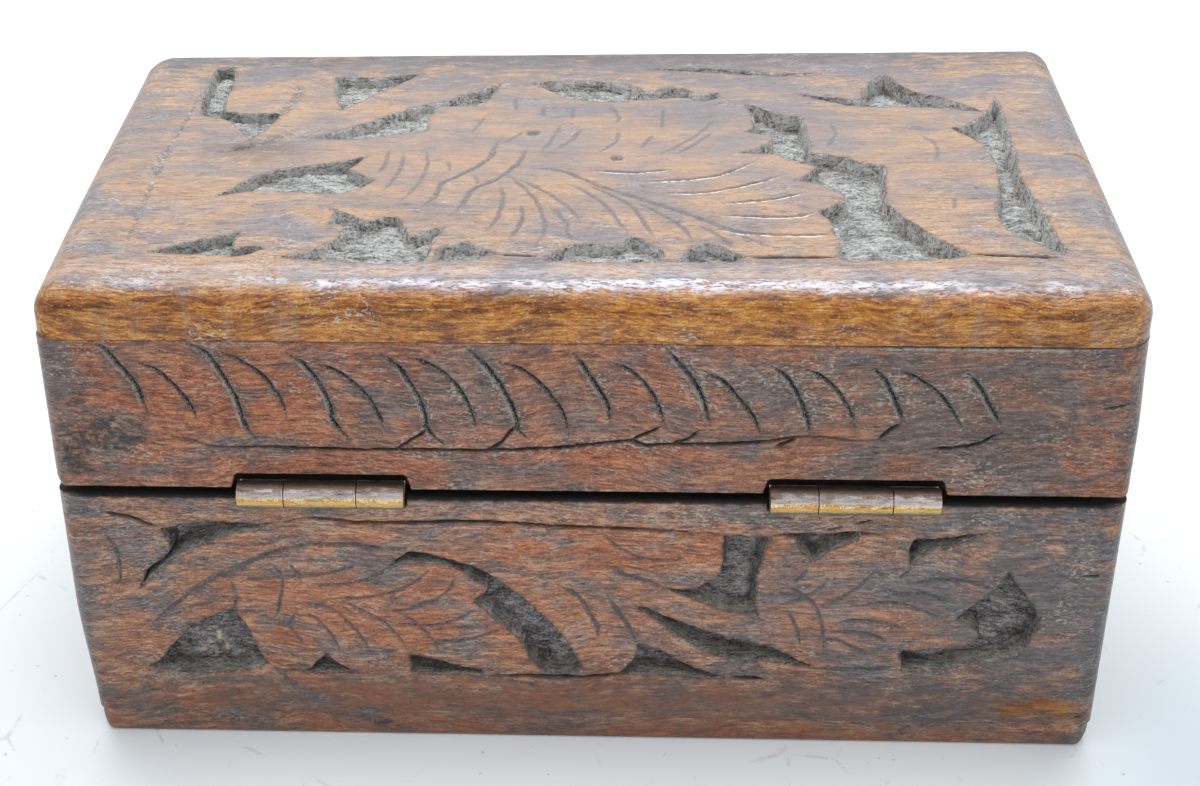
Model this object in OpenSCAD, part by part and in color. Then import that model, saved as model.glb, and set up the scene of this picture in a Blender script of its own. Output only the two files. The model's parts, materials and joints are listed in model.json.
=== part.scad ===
// Carved wooden keepsake box with a lid on two brass butt hinges.
// The front faces -Y and the hinges are at +Y. The origin is the middle of
// the footprint, on the surface that the box stands on.

/* [Box] */
// Width of the box, from end to end
box_w = 160; // [130:1:220]
// Depth of the box, from front to rear
box_d = 93; // [80:1:130]
// Height of the base, from the floor to its rim
base_h = 46.4; // [40:0.1:70]
// Height of the lid's frame at the rear
rail_h = 25.65; // [20:0.05:45]
// Thickness of the top board
top_t = 8; // [6:0.1:12]
// Open gap between base and lid at the rear
rear_gap = 1.35; // [1.2:0.05:1.7]
// Open gap between base and lid at the front
front_gap = 0.3; // [0.2:0.05:0.9]

/* [Boards] */
// Thickness of the walls and of the lid's rails
wall_t = 9; // [8.5:0.1:12]
// Thickness of the bottom board
bottom_t = 4.5; // [3:0.1:8]
// How far the bottom board stands back from the walls
bottom_inset = 0.8; // [0:0.1:2]
// Radius of the upright corners
corner_r = 3; // [1:0.1:6]
// Radius of the top board's upper edges
top_edge_r = 4.8; // [2:0.1:5.5]
// Radius of the bottom board's lower edges
foot_edge_r = 2.8; // [0.5:0.1:2.9]

/* [Hinges] */
// Length of a hinge along the box
hinge_len = 25; // [22:0.5:32]
// Distance of each hinge's middle from the middle of the box
hinge_place = 39.7; // [25:0.1:45]
// Outer diameter of the barrel
barrel_d = 4.1; // [3.4:0.1:4.2]
// Diameter of the hinge pin
pin_d = 2; // [1.6:0.1:2.2]
// Radial clearance of the pin in the lid's knuckle
pin_clear = 0.04; // [0.02:0.01:0.08]
// Length of the middle knuckle
middle_len = 10.8; // [8:0.1:13]
// Clearance between neighbouring knuckles
knuckle_gap = 0.12; // [0.08:0.02:0.3]
// Thickness of a leaf
leaf_t = 0.9; // [0.7:0.05:1.1]
// Distance from the pin's axis to a leaf's free edge
leaf_w = 8; // [7.8:0.1:8.5]
// Gap between the closed leaves
leaf_gap = 0.5; // [0.3:0.05:0.8]
// Distance of the pin's axis behind the rear face
axis_out = 0.4; // [0.2:0.05:0.8]
// Clearance between turning parts and what they turn in
swing_clear = 0.3; // [0.2:0.05:0.5]
// Clearance round a leaf in its mortise
leaf_clear = 0.1; // [0.05:0.05:0.3]
// Height of the lid's hinge notch above the pin's axis
notch_rise = 3.1; // [2.6:0.1:5]
// How far the notch's slanted ends run out at the rim
notch_slant = 0.7; // [0:0.1:2]

/* [Fasteners] */
// Diameter of a hinge screw's head
screw_head_d = 4; // [3.4:0.1:4.2]
// Diameter of a hinge screw's shank
screw_d = 2; // [1.6:0.1:2.2]
// Length of a hinge screw
screw_len = 9.5; // [6:0.5:14]
// Distance of a hinge screw from the hinge's end
screw_end = 4.6; // [3:0.1:6]
// Distance of a hinge screw from the pin's axis
screw_out = 5.2; // [4.7:0.1:5.5]
// Width of the slot in a screw head
slot_w = 0.5; // [0.3:0.05:0.8]
// Depth of the slot in a screw head
slot_depth = 0.4; // [0.2:0.05:0.6]
// Diameter of a bottom nail's head
nail_head_d = 3; // [2.2:0.1:4]
// Thickness of a bottom nail's head
nail_head_t = 0.6; // [0.4:0.1:1]
// Diameter of a bottom nail's shank
nail_d = 1.5; // [1:0.1:2]
// Length of a bottom nail
nail_len = 13; // [10:0.5:18]
// How far a nail's head is sunk into the underside
nail_sink = 0.2; // [0:0.05:0.6]
// Distance of the outer nails from the box's ends
nail_end = 22; // [15:1:40]

/* [Carving] */
// Depth of the sunk ground in the top board
top_depth = 2.6; // [1:0.1:4]
// Depth of the sunk ground in the walls
wall_depth = 3; // [1:0.1:4]
// Plain border at the ends of the top board
border_end = 10.5; // [9:0.5:20]
// Plain border along the front and rear of the top board
border_long = 8.5; // [7.5:0.5:15]
// Plain border at the ends of a carved long wall
panel_end = 10.5; // [6:0.5:25]
// Plain border at the ends of a carved side wall
side_end = 12; // [8:0.5:20]
// Height of the walls' carving above the floor
panel_low = 12.5; // [8:0.1:16]
// Plain strip between the walls' carving and the rim
panel_under = 3.9; // [3:0.1:8]
// Distance between the crescent pairs on the lid's frame
crescent_pitch = 13.85; // [10:0.1:20]
// How far the rows of crescents stand to the left of the middle
crescent_shift = 1.9; // [-4:0.1:4]
// Height of a crescent
crescent_h = 12.7; // [8:0.1:16]
// Depth of a crescent
crescent_depth = 0.8; // [0.3:0.1:2]
// Plain strip between the crescents and the top board
crescent_under = 1.6; // [0.5:0.1:4]
// Straight pieces in each curved stretch of an outline
curve_steps = 3; // [2:1:8]

/* [Hidden] */

$fn = 48;

// How far a cutter reaches past the face that it opens
over = 1;

// Heights of the lid
lid_low = base_h + rear_gap;
seam_z = lid_low + rail_h;
top_z = seam_z + top_t;

// Place of the pins
axis_y = box_d / 2 + axis_out;
axis_z = base_h + rear_gap / 2;
barrel_r = barrel_d / 2;
outer_len = (hinge_len - middle_len) / 2 - knuckle_gap;
outer_x = (hinge_len - outer_len) / 2;
screw_x = hinge_len / 2 - screw_end;

// Turns that lay a drawing on a wall, seen from outside the box
FRONT = 0;
RIGHT = 90;
REAR = 180;
LEFT = -90;

// Colours of the woods and the metals
TOP_WOOD = "#a8672c";
LID_WOOD = "#7a4528";
BASE_WOOD = "#75412a";
BRASS = "#b5923f";
IRON = "#5a5653";

// The size of the carved fields that the outlines below are drawn for
drawn_top = [139, 76];
drawn_panel = [139, 30];
drawn_half = 69;
drawn_low = 12.5;
drawn_crescent = 12.7;

// The outlines of the sunk ground. A point is [across, up] in millimetres as
// seen from behind the box, and a third value marks a sharp tip. The sides
// between the other points are curves.
TOP_POCKETS = [
    // Tendril and leaf tips at the far left
    [[-66, 37, 1], [-63, 37.5], [-62, 30], [-62, 20], [-60.5, 17.5],
     [-56, 16.8], [-52, 17.5, 1], [-52.5, 13], [-55.5, 5.5, 1], [-57.5, 9.5],
     [-59.5, 13], [-62, 15], [-65, 16, 1], [-66, 20], [-66.3, 30]],
    [[-44.5, 33, 1], [-37, 32.8], [-29.5, 34.5, 1], [-36, 26],
     [-42, 18.5, 1], [-43.8, 26]],
    [[-45.5, 6.5, 1], [-40, 10.5], [-30, 19], [-24.5, 22], [-20.5, 26],
     [-15.5, 30, 1], [-17, 24, 1], [-19, 20], [-25.5, 20, 1], [-27, 15],
     [-26.5, 11], [-27.5, 9.5, 1], [-34, 7.5], [-40, 6]],
    [[-57.5, -16, 1], [-54, -10.5], [-50, -6.5], [-41, -3.5],
     [-35.5, -0.5, 1], [-38, -6, 1], [-33.5, -10, 1], [-38, -14.5],
     [-46, -14], [-53, -14]],
    // Near border, from left to right
    [[-64.5, -34.5, 1], [-58, -30.5], [-52, -28, 1], [-52.5, -31],
     [-52, -33, 1], [-49.5, -32.2], [-47.5, -33, 1], [-51, -35.5],
     [-56, -35.2]],
    [[-39.5, -19.5, 1], [-35.5, -22.5], [-33.5, -24, 1], [-30, -22.5],
     [-28.5, -23.5], [-26.5, -29, 1], [-23.5, -27], [-21.5, -25.5, 1],
     [-22.8, -30], [-23.4, -36.5, 1], [-29.5, -37.6], [-45.5, -35.8, 1],
     [-40, -33], [-36.8, -28.5], [-37, -25.5], [-39.5, -25, 1],
     [-38.5, -22]],
    [[-22.2, -36.4, 1], [-22, -33], [-20, -31.2], [-17.5, -30.5, 1],
     [-16.5, -32], [-13, -34.3, 1], [-15, -35], [-16, -36.5, 1]],
    [[-7, -36, 1], [-3, -31.8], [0, -31.2], [5.2, -31, 1], [6.5, -28.5, 1],
     [10, -32], [11, -34], [10.5, -36.5, 1], [5, -36.8], [-4, -36.5]],
    [[13, -36.5, 1], [14, -34], [15.5, -31.5], [17.5, -30.8, 1],
     [19.5, -32], [22.5, -34.8, 1], [21, -36.5, 1]],
    // Large ground to the right of the main leaf
    [[25.5, 20, 1], [26.5, 15.5], [26.2, 10.5], [25, 9, 1], [29.2, 7.5, 1],
     [29, 5], [26.5, 2.5], [23.8, 0.8, 1], [30, 0], [31, -2], [35, -4],
     [35, -5.5], [31.8, -9.5, 1], [34.5, -10.3], [38, -13.5], [39, -15.5],
     [37.5, -17.5], [34.5, -20, 1], [36.2, -24], [36, -26.5], [36.8, -30],
     [36, -34], [36.5, -35.8, 1], [48, -35.5], [54.5, -34.5], [55, -33, 1],
     [51, -28.5], [47, -22], [45.2, -18], [45, -15], [46, -5.5], [45, -3.5],
     [42, -2.5], [39.5, -0.5], [35, 0.5, 1], [35, 7.5], [34.5, 15, 1],
     [30.5, 16], [27.5, 19]],
    // Scallops above the main leaf
    [[-11, 30, 1], [-5, 30.5], [0, 30.3], [7, 28.5], [9, 25.8], [13, 27.5],
     [16.5, 26.5], [17, 25, 1], [21, 25, 1], [21.5, 23, 1], [18, 21.5],
     [16, 23], [9, 22.5], [3, 21.5], [-3, 22.5], [-5, 24.5], [-8, 27.5]],
    [[9, 35.8, 1], [20, 35.8], [30, 34], [39, 33, 1], [30, 32.3],
     [20, 34.2]],
    // Forked ground at the far right
    [[34, 24.5, 1], [40, 22.8], [43.6, 22], [45, 24], [46.5, 28],
     [50, 33, 1], [52.5, 27.5], [55, 24.5], [59, 22.5], [64, 17, 1],
     [55, 19], [46, 19], [41, 20.5]],
    // Groove along the right border
    [[67, 22.5, 1], [66, 19], [62.5, 13], [58.5, 10.5, 1], [59.5, 8.5],
     [62, 5], [63.5, -2.5], [62.5, -12], [61, -20], [61.2, -23.5],
     [62.5, -27], [67.5, -32.5], [69.2, -33, 1], [68.5, -28],
     [67.5, -16.5], [66.5, -6.5], [67, 0], [67.2, 7.5], [67.5, 20]]
];

// The left half of a carved wall: one leaf under an arched stem
LEFT_PANEL = [
    [[-64.9, 40.3, 1], [-58.5, 41.5], [-54.5, 41.6], [-47.6, 41.3, 1],
     [-50.1, 40.6], [-54.9, 38.9], [-59.5, 37], [-62.6, 35.5],
     [-65.6, 32.6], [-69, 28.9, 1], [-68, 32], [-65, 34.6],
     [-63.8, 36.6], [-63.8, 38.4]],
    [[-69.2, 13.4, 1], [-67.2, 15.2], [-64.9, 18.2], [-60.8, 22.3],
     [-54.7, 25.4, 1], [-52.9, 21.4], [-51.3, 16.8], [-49.9, 14.3, 1],
     [-54.9, 12.8], [-64, 12.6]],
    [[-44.6, 12.7, 1], [-43.1, 14.1], [-41, 16.4, 1], [-38.5, 14.3],
     [-35.8, 12.8, 1]],
    [[-27.6, 16.4, 1], [-26.2, 16.5], [-20.1, 14.6], [-16.3, 13.8, 1],
     [-16.3, 12.6, 1], [-27.5, 12.8, 1]],
    [[-30.1, 33.6, 1], [-27.6, 36.2], [-26, 36.5], [-21, 35.2],
     [-16.5, 33.4], [-12.8, 30.9], [-8.3, 26.4], [-3.7, 20.9],
     [-0.5, 14.5, 1], [-3.7, 13.2], [-6.2, 13.8], [-8.7, 16.4],
     [-10.1, 19.8], [-13.3, 23], [-17.4, 27.3, 1], [-15.2, 29.6],
     [-17.8, 32], [-21, 33.9], [-26.9, 34.3]]
];

// The right half of a carved wall: a second leaf between stem and border
RIGHT_PANEL = [
    [[12.2, 30.2, 1], [14.9, 30.2], [17.6, 30.9], [20.4, 33.6],
     [20.6, 40.2, 1], [27.8, 40, 1], [26.4, 35], [25.9, 28.6],
     [26.6, 25.2, 1], [21.8, 25.9], [16.3, 28.2]],
    [[8.1, 19.5, 1], [11.7, 18.2], [14.5, 16.4], [17.2, 14.8],
     [22.6, 12.7, 1], [11.7, 13.2], [4.9, 13.4, 1], [6.8, 15.2],
     [7.8, 17]],
    [[7.6, 26.8, 1], [10.4, 25.9], [17.2, 22.7], [23.1, 20.6],
     [29.1, 18.9], [35.7, 15.2, 1], [30, 16.2], [23.6, 16.5],
     [18.5, 18.4], [13.1, 22.3]],
    [[31.1, 40, 1], [35, 40.4], [41.1, 40.9, 1], [41.1, 39.7, 1],
     [37.3, 38], [34.2, 35.7, 1], [32.5, 37.5]],
    [[48.9, 39.8, 1], [53.6, 40.4], [59.8, 41.4, 1], [55.9, 39.1],
     [50.9, 37.3], [49, 35, 1], [48.5, 37.7]],
    [[63.9, 34.3, 1], [64.8, 32.3], [67.3, 28.9], [69.2, 25.2],
     [68.2, 20.9], [66.8, 18.2], [60.9, 16.5], [53.6, 15], [49.1, 14.8, 1],
     [49.1, 16.4], [48.4, 17.7], [49.1, 18.8, 1], [55.5, 19.3],
     [59.4, 20.2], [60.2, 22.7], [56.6, 25.2, 1], [58.8, 27.6],
     [62.3, 30.9]]
];

// One pair of crescents, measured from the heavy one's upper tip
HEAVY_CRESCENT = [[0, 0, 1], [4.3, -5], [6.4, -12.7, 1], [3.1, -5.5]];
FINE_CRESCENT = [[5.3, -0.9, 1], [10.9, -5.2], [13.2, -11.6, 1],
                 [10.3, -5.7]];

// A point on the curve from b to c, which heads for a's and d's sides
function curve_point(a, b, c, d, t) =
    0.5 * (2 * b + (c - a) * t + (2 * a - 5 * b + 4 * c - d) * t * t
           + (3 * b - a - 3 * c + d) * t * t * t);

function is_tip(p) = len(p) > 2;
function flat(p) = [p.x, p.y];

// The outline's tips and curves as one closed ring of points
function ring(points) =
    let (n = len(points))
    [for (i = [0 : n - 1])
        let (
            b = points[i],
            c = points[(i + 1) % n],
            a = is_tip(b) ? b : points[(i + n - 1) % n],
            d = is_tip(c) ? c : points[(i + 2) % n],
            steps = is_tip(b) && is_tip(c) ? 1 : curve_steps
        )
        for (k = [0 : steps - 1])
            curve_point(flat(a), flat(b), flat(c), flat(d), k / steps)];

// Rectangle with round corners, about the origin
module round_rect(w, d, r) {
    square([w - 2 * r, d], center = true);
    square([w, d - 2 * r], center = true);
    for (x = [-1, 1], y = [-1, 1])
        translate([x * (w / 2 - r), y * (d / 2 - r)])
            circle(r);
}

// Upright rectangle that stands on the X axis, with round upper corners
module dome_rect(w, h, r) {
    translate([-w / 2, 0])
        square([w, h - r]);
    translate([-w / 2 + r, 0])
        square([w - 2 * r, h]);
    for (x = [-1, 1])
        translate([x * (w / 2 - r), h - r])
            circle(r);
}

// Board of w by d with round corners, and its upper edges rounded by edge_r
module soft_board(w, d, t, edge_r) {
    intersection() {
        linear_extrude(t)
            round_rect(w, d, corner_r);
        rotate([90, 0, 0])
            linear_extrude(d, center = true)
                dome_rect(w, t, edge_r);
        rotate([90, 0, 90])
            linear_extrude(w, center = true)
                dome_rect(d, t, edge_r);
    }
}

// The outlines, scaled to their field and moved up
module field(outlines, across, up = 1, lift = 0) {
    for (points = outlines)
        translate([0, lift])
            polygon([for (p = ring(points)) [p.x * across, p.y * up]]);
}

// Lays a drawing on the wall that is out from the middle, sunk by depth
module carve(turn, out, depth) {
    rotate([90, 0, turn])
        translate([0, 0, out - depth])
            linear_extrude(depth + over)
                children();
}

// The space inside the outside faces of the box, between two heights
module shell_block(low, high) {
    translate([0, 0, low])
        linear_extrude(high - low)
            round_rect(box_w, box_d, corner_r);
}

// The lid's frame from the side, with its rim sloping down to the front
module lid_slope() {
    rotate([90, 0, 90])
        linear_extrude(box_w, center = true)
            polygon([[-box_d / 2, base_h + front_gap], [box_d / 2, lid_low],
                     [box_d / 2, seam_z], [-box_d / 2, seam_z]]);
}

// A long board at the rear (side = 1) or at the front (side = -1)
module long_strip(side, low, high) {
    translate([-box_w / 2, side > 0 ? box_d / 2 - wall_t : -box_d / 2, low])
        cube([box_w, wall_t, high - low]);
}

// A short board at the right (side = 1) or left (side = -1), which stands
// between the long ones
module short_strip(side, low, high) {
    translate([side > 0 ? box_w / 2 - wall_t : -box_w / 2,
               -box_d / 2 + wall_t, low])
        cube([wall_t, box_d - 2 * wall_t, high - low]);
}

module wall_board(low, high) {
    intersection() {
        shell_block(low, high);
        children();
    }
}

// Carving of a wall of the base, scaled to the height between its borders
module panel(outlines, across) {
    rise = (base_h - panel_under - panel_low) / drawn_panel.y;
    field(outlines, across, rise, panel_low - drawn_low * rise);
}

module long_panel() {
    across = (box_w - 2 * panel_end) / drawn_panel.x;
    panel(concat(LEFT_PANEL, RIGHT_PANEL), across);
}

module short_panel() {
    across = (box_d - 2 * side_end) / drawn_half;
    translate([drawn_half / 2 * across, 0])
        panel(LEFT_PANEL, across);
}

// Row of crescent pairs along a rail of this length
module crescents(rail_len) {
    pair_w = FINE_CRESCENT[2].x;
    count = floor((rail_len - 2 * panel_end) / crescent_pitch);
    start = -((count - 1) * crescent_pitch + pair_w) / 2 - crescent_shift;
    for (i = [0 : count - 1])
        translate([start + i * crescent_pitch, 0])
            field([HEAVY_CRESCENT, FINE_CRESCENT], 1,
                  crescent_h / drawn_crescent, seam_z - crescent_under);
}

// Puts the children at a hinge's place, with the pin's axis along their X
module at_hinge(side) {
    translate([side * hinge_place, axis_y, axis_z])
        children();
}

module at_hinges() {
    for (side = [-1, 1])
        at_hinge(side)
            children();
}

// Cylinder along X
module rod(d, length) {
    rotate([0, 90, 0])
        cylinder(d = d, h = length, center = true);
}

// Hinge screw with its head's flat side up at the origin
module screw() {
    cone_h = (screw_head_d - screw_d) / 2;
    rotate_extrude()
        polygon([[0, 0], [screw_head_d / 2, 0], [screw_d / 2, -cone_h],
                 [screw_d / 2, screw_d - screw_len], [0, -screw_len]]);
}

module slotted_screw() {
    difference() {
        screw();
        translate([-screw_head_d, -slot_w / 2, -slot_depth])
            cube([2 * screw_head_d, slot_w, slot_depth + over]);
    }
}

// Puts the children at both screws of a leaf below the pin's axis
module at_screws() {
    for (x = [-screw_x, screw_x])
        translate([x, -screw_out, -leaf_gap / 2])
            children();
}

// Leaf that lies below the pin's axis, with knuckles given as [place, length]
module leaf(knuckles, bore_d) {
    plate_y = barrel_r + swing_clear;
    difference() {
        union() {
            translate([-hinge_len / 2, -leaf_w, -leaf_gap / 2 - leaf_t])
                cube([hinge_len, leaf_w - plate_y, leaf_t]);
            for (k = knuckles) {
                translate([k[0] - k[1] / 2, -leaf_w, -leaf_gap / 2 - leaf_t])
                    cube([k[1], leaf_w, leaf_t]);
                translate([k[0], 0, 0])
                    rod(barrel_d, k[1]);
            }
        }
        rod(bore_d, hinge_len + 2 * over);
        at_screws()
            screw();
    }
}

module base_leaf(side) {
    color(BRASS)
        at_hinge(side)
            leaf([[-outer_x, outer_len], [outer_x, outer_len]], pin_d);
}

module lid_leaf(side) {
    color(BRASS)
        at_hinge(side)
            mirror([0, 0, 1])
                leaf([[0, middle_len]], pin_d + 2 * pin_clear);
}

module hinge_pin(side) {
    color(BRASS)
        at_hinge(side)
            rod(pin_d, hinge_len);
}

module base_screws(side) {
    color(BRASS)
        at_hinge(side)
            at_screws()
                slotted_screw();
}

module lid_screws(side) {
    color(BRASS)
        at_hinge(side)
            mirror([0, 0, 1])
                at_screws()
                    slotted_screw();
}

// What a leaf and its screws need cut out of the wood below the pin's axis
module leaf_seat() {
    seat_len = hinge_len + 2 * leaf_clear;
    translate([-seat_len / 2, -leaf_w - leaf_clear, -leaf_gap / 2 - leaf_t])
        cube([seat_len, leaf_w + over, leaf_t + over]);
    at_screws()
        screw();
}

// Round recess for the lower half of the barrel
module barrel_seat() {
    rod(barrel_d + 2 * swing_clear, hinge_len + 2 * swing_clear);
}

// Chiselled notch over the barrel, open to the rear and to the rim
module lid_notch() {
    half = hinge_len / 2 + swing_clear;
    depth = barrel_r - axis_out + swing_clear;
    low = -rear_gap;
    rotate([90, 0, 0])
        translate([0, 0, axis_out - over])
            linear_extrude(depth + over)
                polygon([[-half - notch_slant, low], [half + notch_slant, low],
                         [half, notch_rise], [-half, notch_rise]]);
}

// Nail with the top of its head at the origin, pointing up
module nail() {
    rotate_extrude()
        polygon([[0, 0], [nail_head_d / 2, 0], [nail_head_d / 2, nail_head_t],
                 [nail_d / 2, nail_head_t], [nail_d / 2, nail_len - nail_d],
                 [0, nail_len]]);
}

// Puts the children at each nail, on the middle line of the wall above it
module at_nails() {
    long_x = box_w / 2 - nail_end;
    short_x = box_w / 2 - wall_t / 2;
    long_y = box_d / 2 - wall_t / 2;
    places = concat([for (x = [-long_x, 0, long_x], y = [-long_y, long_y]) [x, y]],
                    [for (x = [-short_x, short_x]) [x, 0]]);
    for (p = places)
        translate([p.x, p.y, nail_sink])
            children();
}

module nail_holes() {
    at_nails() {
        nail();
        translate([0, 0, -nail_sink - over])
            cylinder(d = nail_head_d, h = nail_sink + over);
    }
}

module lid_top_board() {
    color(TOP_WOOD)
        difference() {
            translate([0, 0, seam_z])
                soft_board(box_w, box_d, top_t, top_edge_r);
            translate([0, 0, top_z - top_depth])
                rotate([0, 0, REAR])
                    linear_extrude(top_depth + over)
                        field(TOP_POCKETS,
                              (box_w - 2 * border_end) / drawn_top.x,
                              (box_d - 2 * border_long) / drawn_top.y);
        }
}

module lid_rear_rail() {
    color(LID_WOOD)
        difference() {
            lid_rail()
                long_strip(1, base_h, seam_z);
            carve(REAR, box_d / 2, crescent_depth)
                crescents(box_w);
            at_hinges() {
                lid_notch();
                mirror([0, 0, 1])
                    leaf_seat();
            }
        }
}

module lid_rail() {
    intersection() {
        wall_board(base_h, seam_z)
            children();
        lid_slope();
    }
}

module lid_front_rail() {
    color(LID_WOOD)
        difference() {
            lid_rail()
                long_strip(-1, base_h, seam_z);
            carve(FRONT, box_d / 2, crescent_depth)
                crescents(box_w);
        }
}

// Side rail of the lid at the right (side = 1) or at the left (side = -1)
module lid_side_rail(side) {
    color(LID_WOOD)
        difference() {
            lid_rail()
                short_strip(side, base_h, seam_z);
            carve(side > 0 ? RIGHT : LEFT, box_w / 2, crescent_depth)
                crescents(box_d);
        }
}

module base_rear_board() {
    color(BASE_WOOD)
        difference() {
            wall_board(bottom_t, base_h)
                long_strip(1, bottom_t, base_h);
            carve(REAR, box_d / 2, wall_depth)
                long_panel();
            at_hinges() {
                leaf_seat();
                barrel_seat();
            }
            nail_holes();
        }
}

module base_front_board() {
    color(BASE_WOOD)
        difference() {
            wall_board(bottom_t, base_h)
                long_strip(-1, bottom_t, base_h);
            carve(FRONT, box_d / 2, wall_depth)
                mirror([1, 0])
                    long_panel();
            nail_holes();
        }
}

// Side wall of the base at the right (side = 1) or at the left (side = -1)
module base_side_board(side) {
    color(BASE_WOOD)
        difference() {
            wall_board(bottom_t, base_h)
                short_strip(side, bottom_t, base_h);
            carve(side > 0 ? RIGHT : LEFT, box_w / 2, wall_depth)
                short_panel();
            nail_holes();
        }
}

module base_bottom_board() {
    color(BASE_WOOD)
        difference() {
            translate([0, 0, bottom_t])
                rotate([180, 0, 0])
                    soft_board(box_w - 2 * bottom_inset,
                               box_d - 2 * bottom_inset, bottom_t, foot_edge_r);
            nail_holes();
        }
}

module bottom_nails() {
    color(IRON)
        at_nails()
            nail();
}

lid_top_board();
lid_rear_rail();
lid_front_rail();
lid_side_rail(-1);  // lid_left_rail
lid_side_rail(1);  // lid_right_rail
base_rear_board();
base_front_board();
base_side_board(-1);  // base_left_board
base_side_board(1);  // base_right_board
base_bottom_board();
bottom_nails();
base_leaf(-1);  // left_hinge_base_leaf
lid_leaf(-1);  // left_hinge_lid_leaf
hinge_pin(-1);  // left_hinge_pin
base_screws(-1);  // left_hinge_base_screws
lid_screws(-1);  // left_hinge_lid_screws
base_leaf(1);  // right_hinge_base_leaf
lid_leaf(1);  // right_hinge_lid_leaf
hinge_pin(1);  // right_hinge_pin
base_screws(1);  // right_hinge_base_screws
lid_screws(1);  // right_hinge_lid_screws
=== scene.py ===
"""Looks of the carved keepsake box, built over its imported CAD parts.

Lengths are in millimetres until a mesh is made. A board's face is drawn as [u, v], with u to the right and
v up as seen from outside the box, and w is the height over the face.
"""

import json
import math

import bmesh
import bpy
import numpy as np
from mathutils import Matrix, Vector


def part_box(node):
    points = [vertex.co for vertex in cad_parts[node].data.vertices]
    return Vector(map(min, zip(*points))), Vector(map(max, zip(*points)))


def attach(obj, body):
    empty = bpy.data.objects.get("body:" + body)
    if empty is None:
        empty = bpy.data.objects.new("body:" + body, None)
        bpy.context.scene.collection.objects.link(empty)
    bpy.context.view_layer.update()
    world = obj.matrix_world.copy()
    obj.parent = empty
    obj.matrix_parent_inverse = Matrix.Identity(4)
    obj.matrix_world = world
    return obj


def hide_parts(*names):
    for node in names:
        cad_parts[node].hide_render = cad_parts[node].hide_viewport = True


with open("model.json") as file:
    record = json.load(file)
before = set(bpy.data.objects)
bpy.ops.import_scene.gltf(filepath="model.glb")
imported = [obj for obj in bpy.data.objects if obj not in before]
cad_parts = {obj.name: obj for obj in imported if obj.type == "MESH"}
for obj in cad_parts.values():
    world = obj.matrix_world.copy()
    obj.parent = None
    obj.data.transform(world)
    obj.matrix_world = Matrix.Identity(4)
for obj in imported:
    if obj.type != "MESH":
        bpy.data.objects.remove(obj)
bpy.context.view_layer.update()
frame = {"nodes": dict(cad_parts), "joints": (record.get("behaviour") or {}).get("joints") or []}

MM = 0.001
COARSER = 1.0


def node_box(node):
    low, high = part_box(node)
    return np.array(low) / MM, np.array(high) / MM


# Sizes that come from the CAD parts
TOP_LOW, TOP_HIGH = node_box("lid_top_board")
REAR_LOW, REAR_HIGH = node_box("base_rear_board")
BOX_W = TOP_HIGH[0] - TOP_LOW[0]
BOX_D = TOP_HIGH[1] - TOP_LOW[1]
BOX_H = TOP_HIGH[2]
SEAM_Z = TOP_LOW[2]
BASE_H = REAR_HIGH[2]
BOTTOM_T = REAR_LOW[2]
WALL_T = REAR_HIGH[1] - REAR_LOW[1]
AXIS_Y, AXIS_Z = np.array(frame["joints"][0]["pos_m"][1:]) / MM
PLATE_LOW, PLATE_HIGH = node_box("right_hinge_base_leaf")
HINGE_LEN = PLATE_HIGH[0] - PLATE_LOW[0]
HINGE_X = (PLATE_HIGH[0] + PLATE_LOW[0]) / 2
BARREL_R = PLATE_HIGH[1] - AXIS_Y
REAR_GAP = 2 * (AXIS_Z - BASE_H)
LID_LOW = BASE_H + REAR_GAP
FRONT_GAP = 0.3
BOTTOM_INSET = 0.25

# Room that the hinges have in the wood
SWING_CLEAR = 0.3
LEAF_CLEAR = 0.1
LEAF_W = 8.0
LEAF_SUNK = 0.475
NOTCH_RISE = 3.1
NOTCH_SLANT = 0.7

# Rounding of the boards
TOP_EDGE_R = 4.8
END_R = 2.4
SHOULDER_R = 2.2
TOP_CORNERS_R = (3.4, 5.0, 5.8, 4.5)
TOP_WARP = 1.5
FOOT_EDGE_R = 0.7
FOOT_END_R = 2.4
FOOT_CORNER_R = 2.6
RIM_R = 0.45
SEAM_R = 0.25

# Depth of the sunk ground
TOP_SUNK = 2.6
WALL_SUNK = 3.0

# The top's ground is shallower at the left, and deepens between these places
TOP_SHALLOW = 0.66
TOP_DEEP_FROM = (12.0, 34.0)

# The walls of the ground get painted shade at the left of the top, which fades out between these places
LEFT_GLOOM = 0.3
TOP_LIGHT_FROM = (-55.0, -30.0)

# Distance between the points of the carved faces
FINE_STEP = 0.2 * COARSER
SIDE_STEP = 0.3 * COARSER
PLAIN_STEP = 0.6 * COARSER

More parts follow.
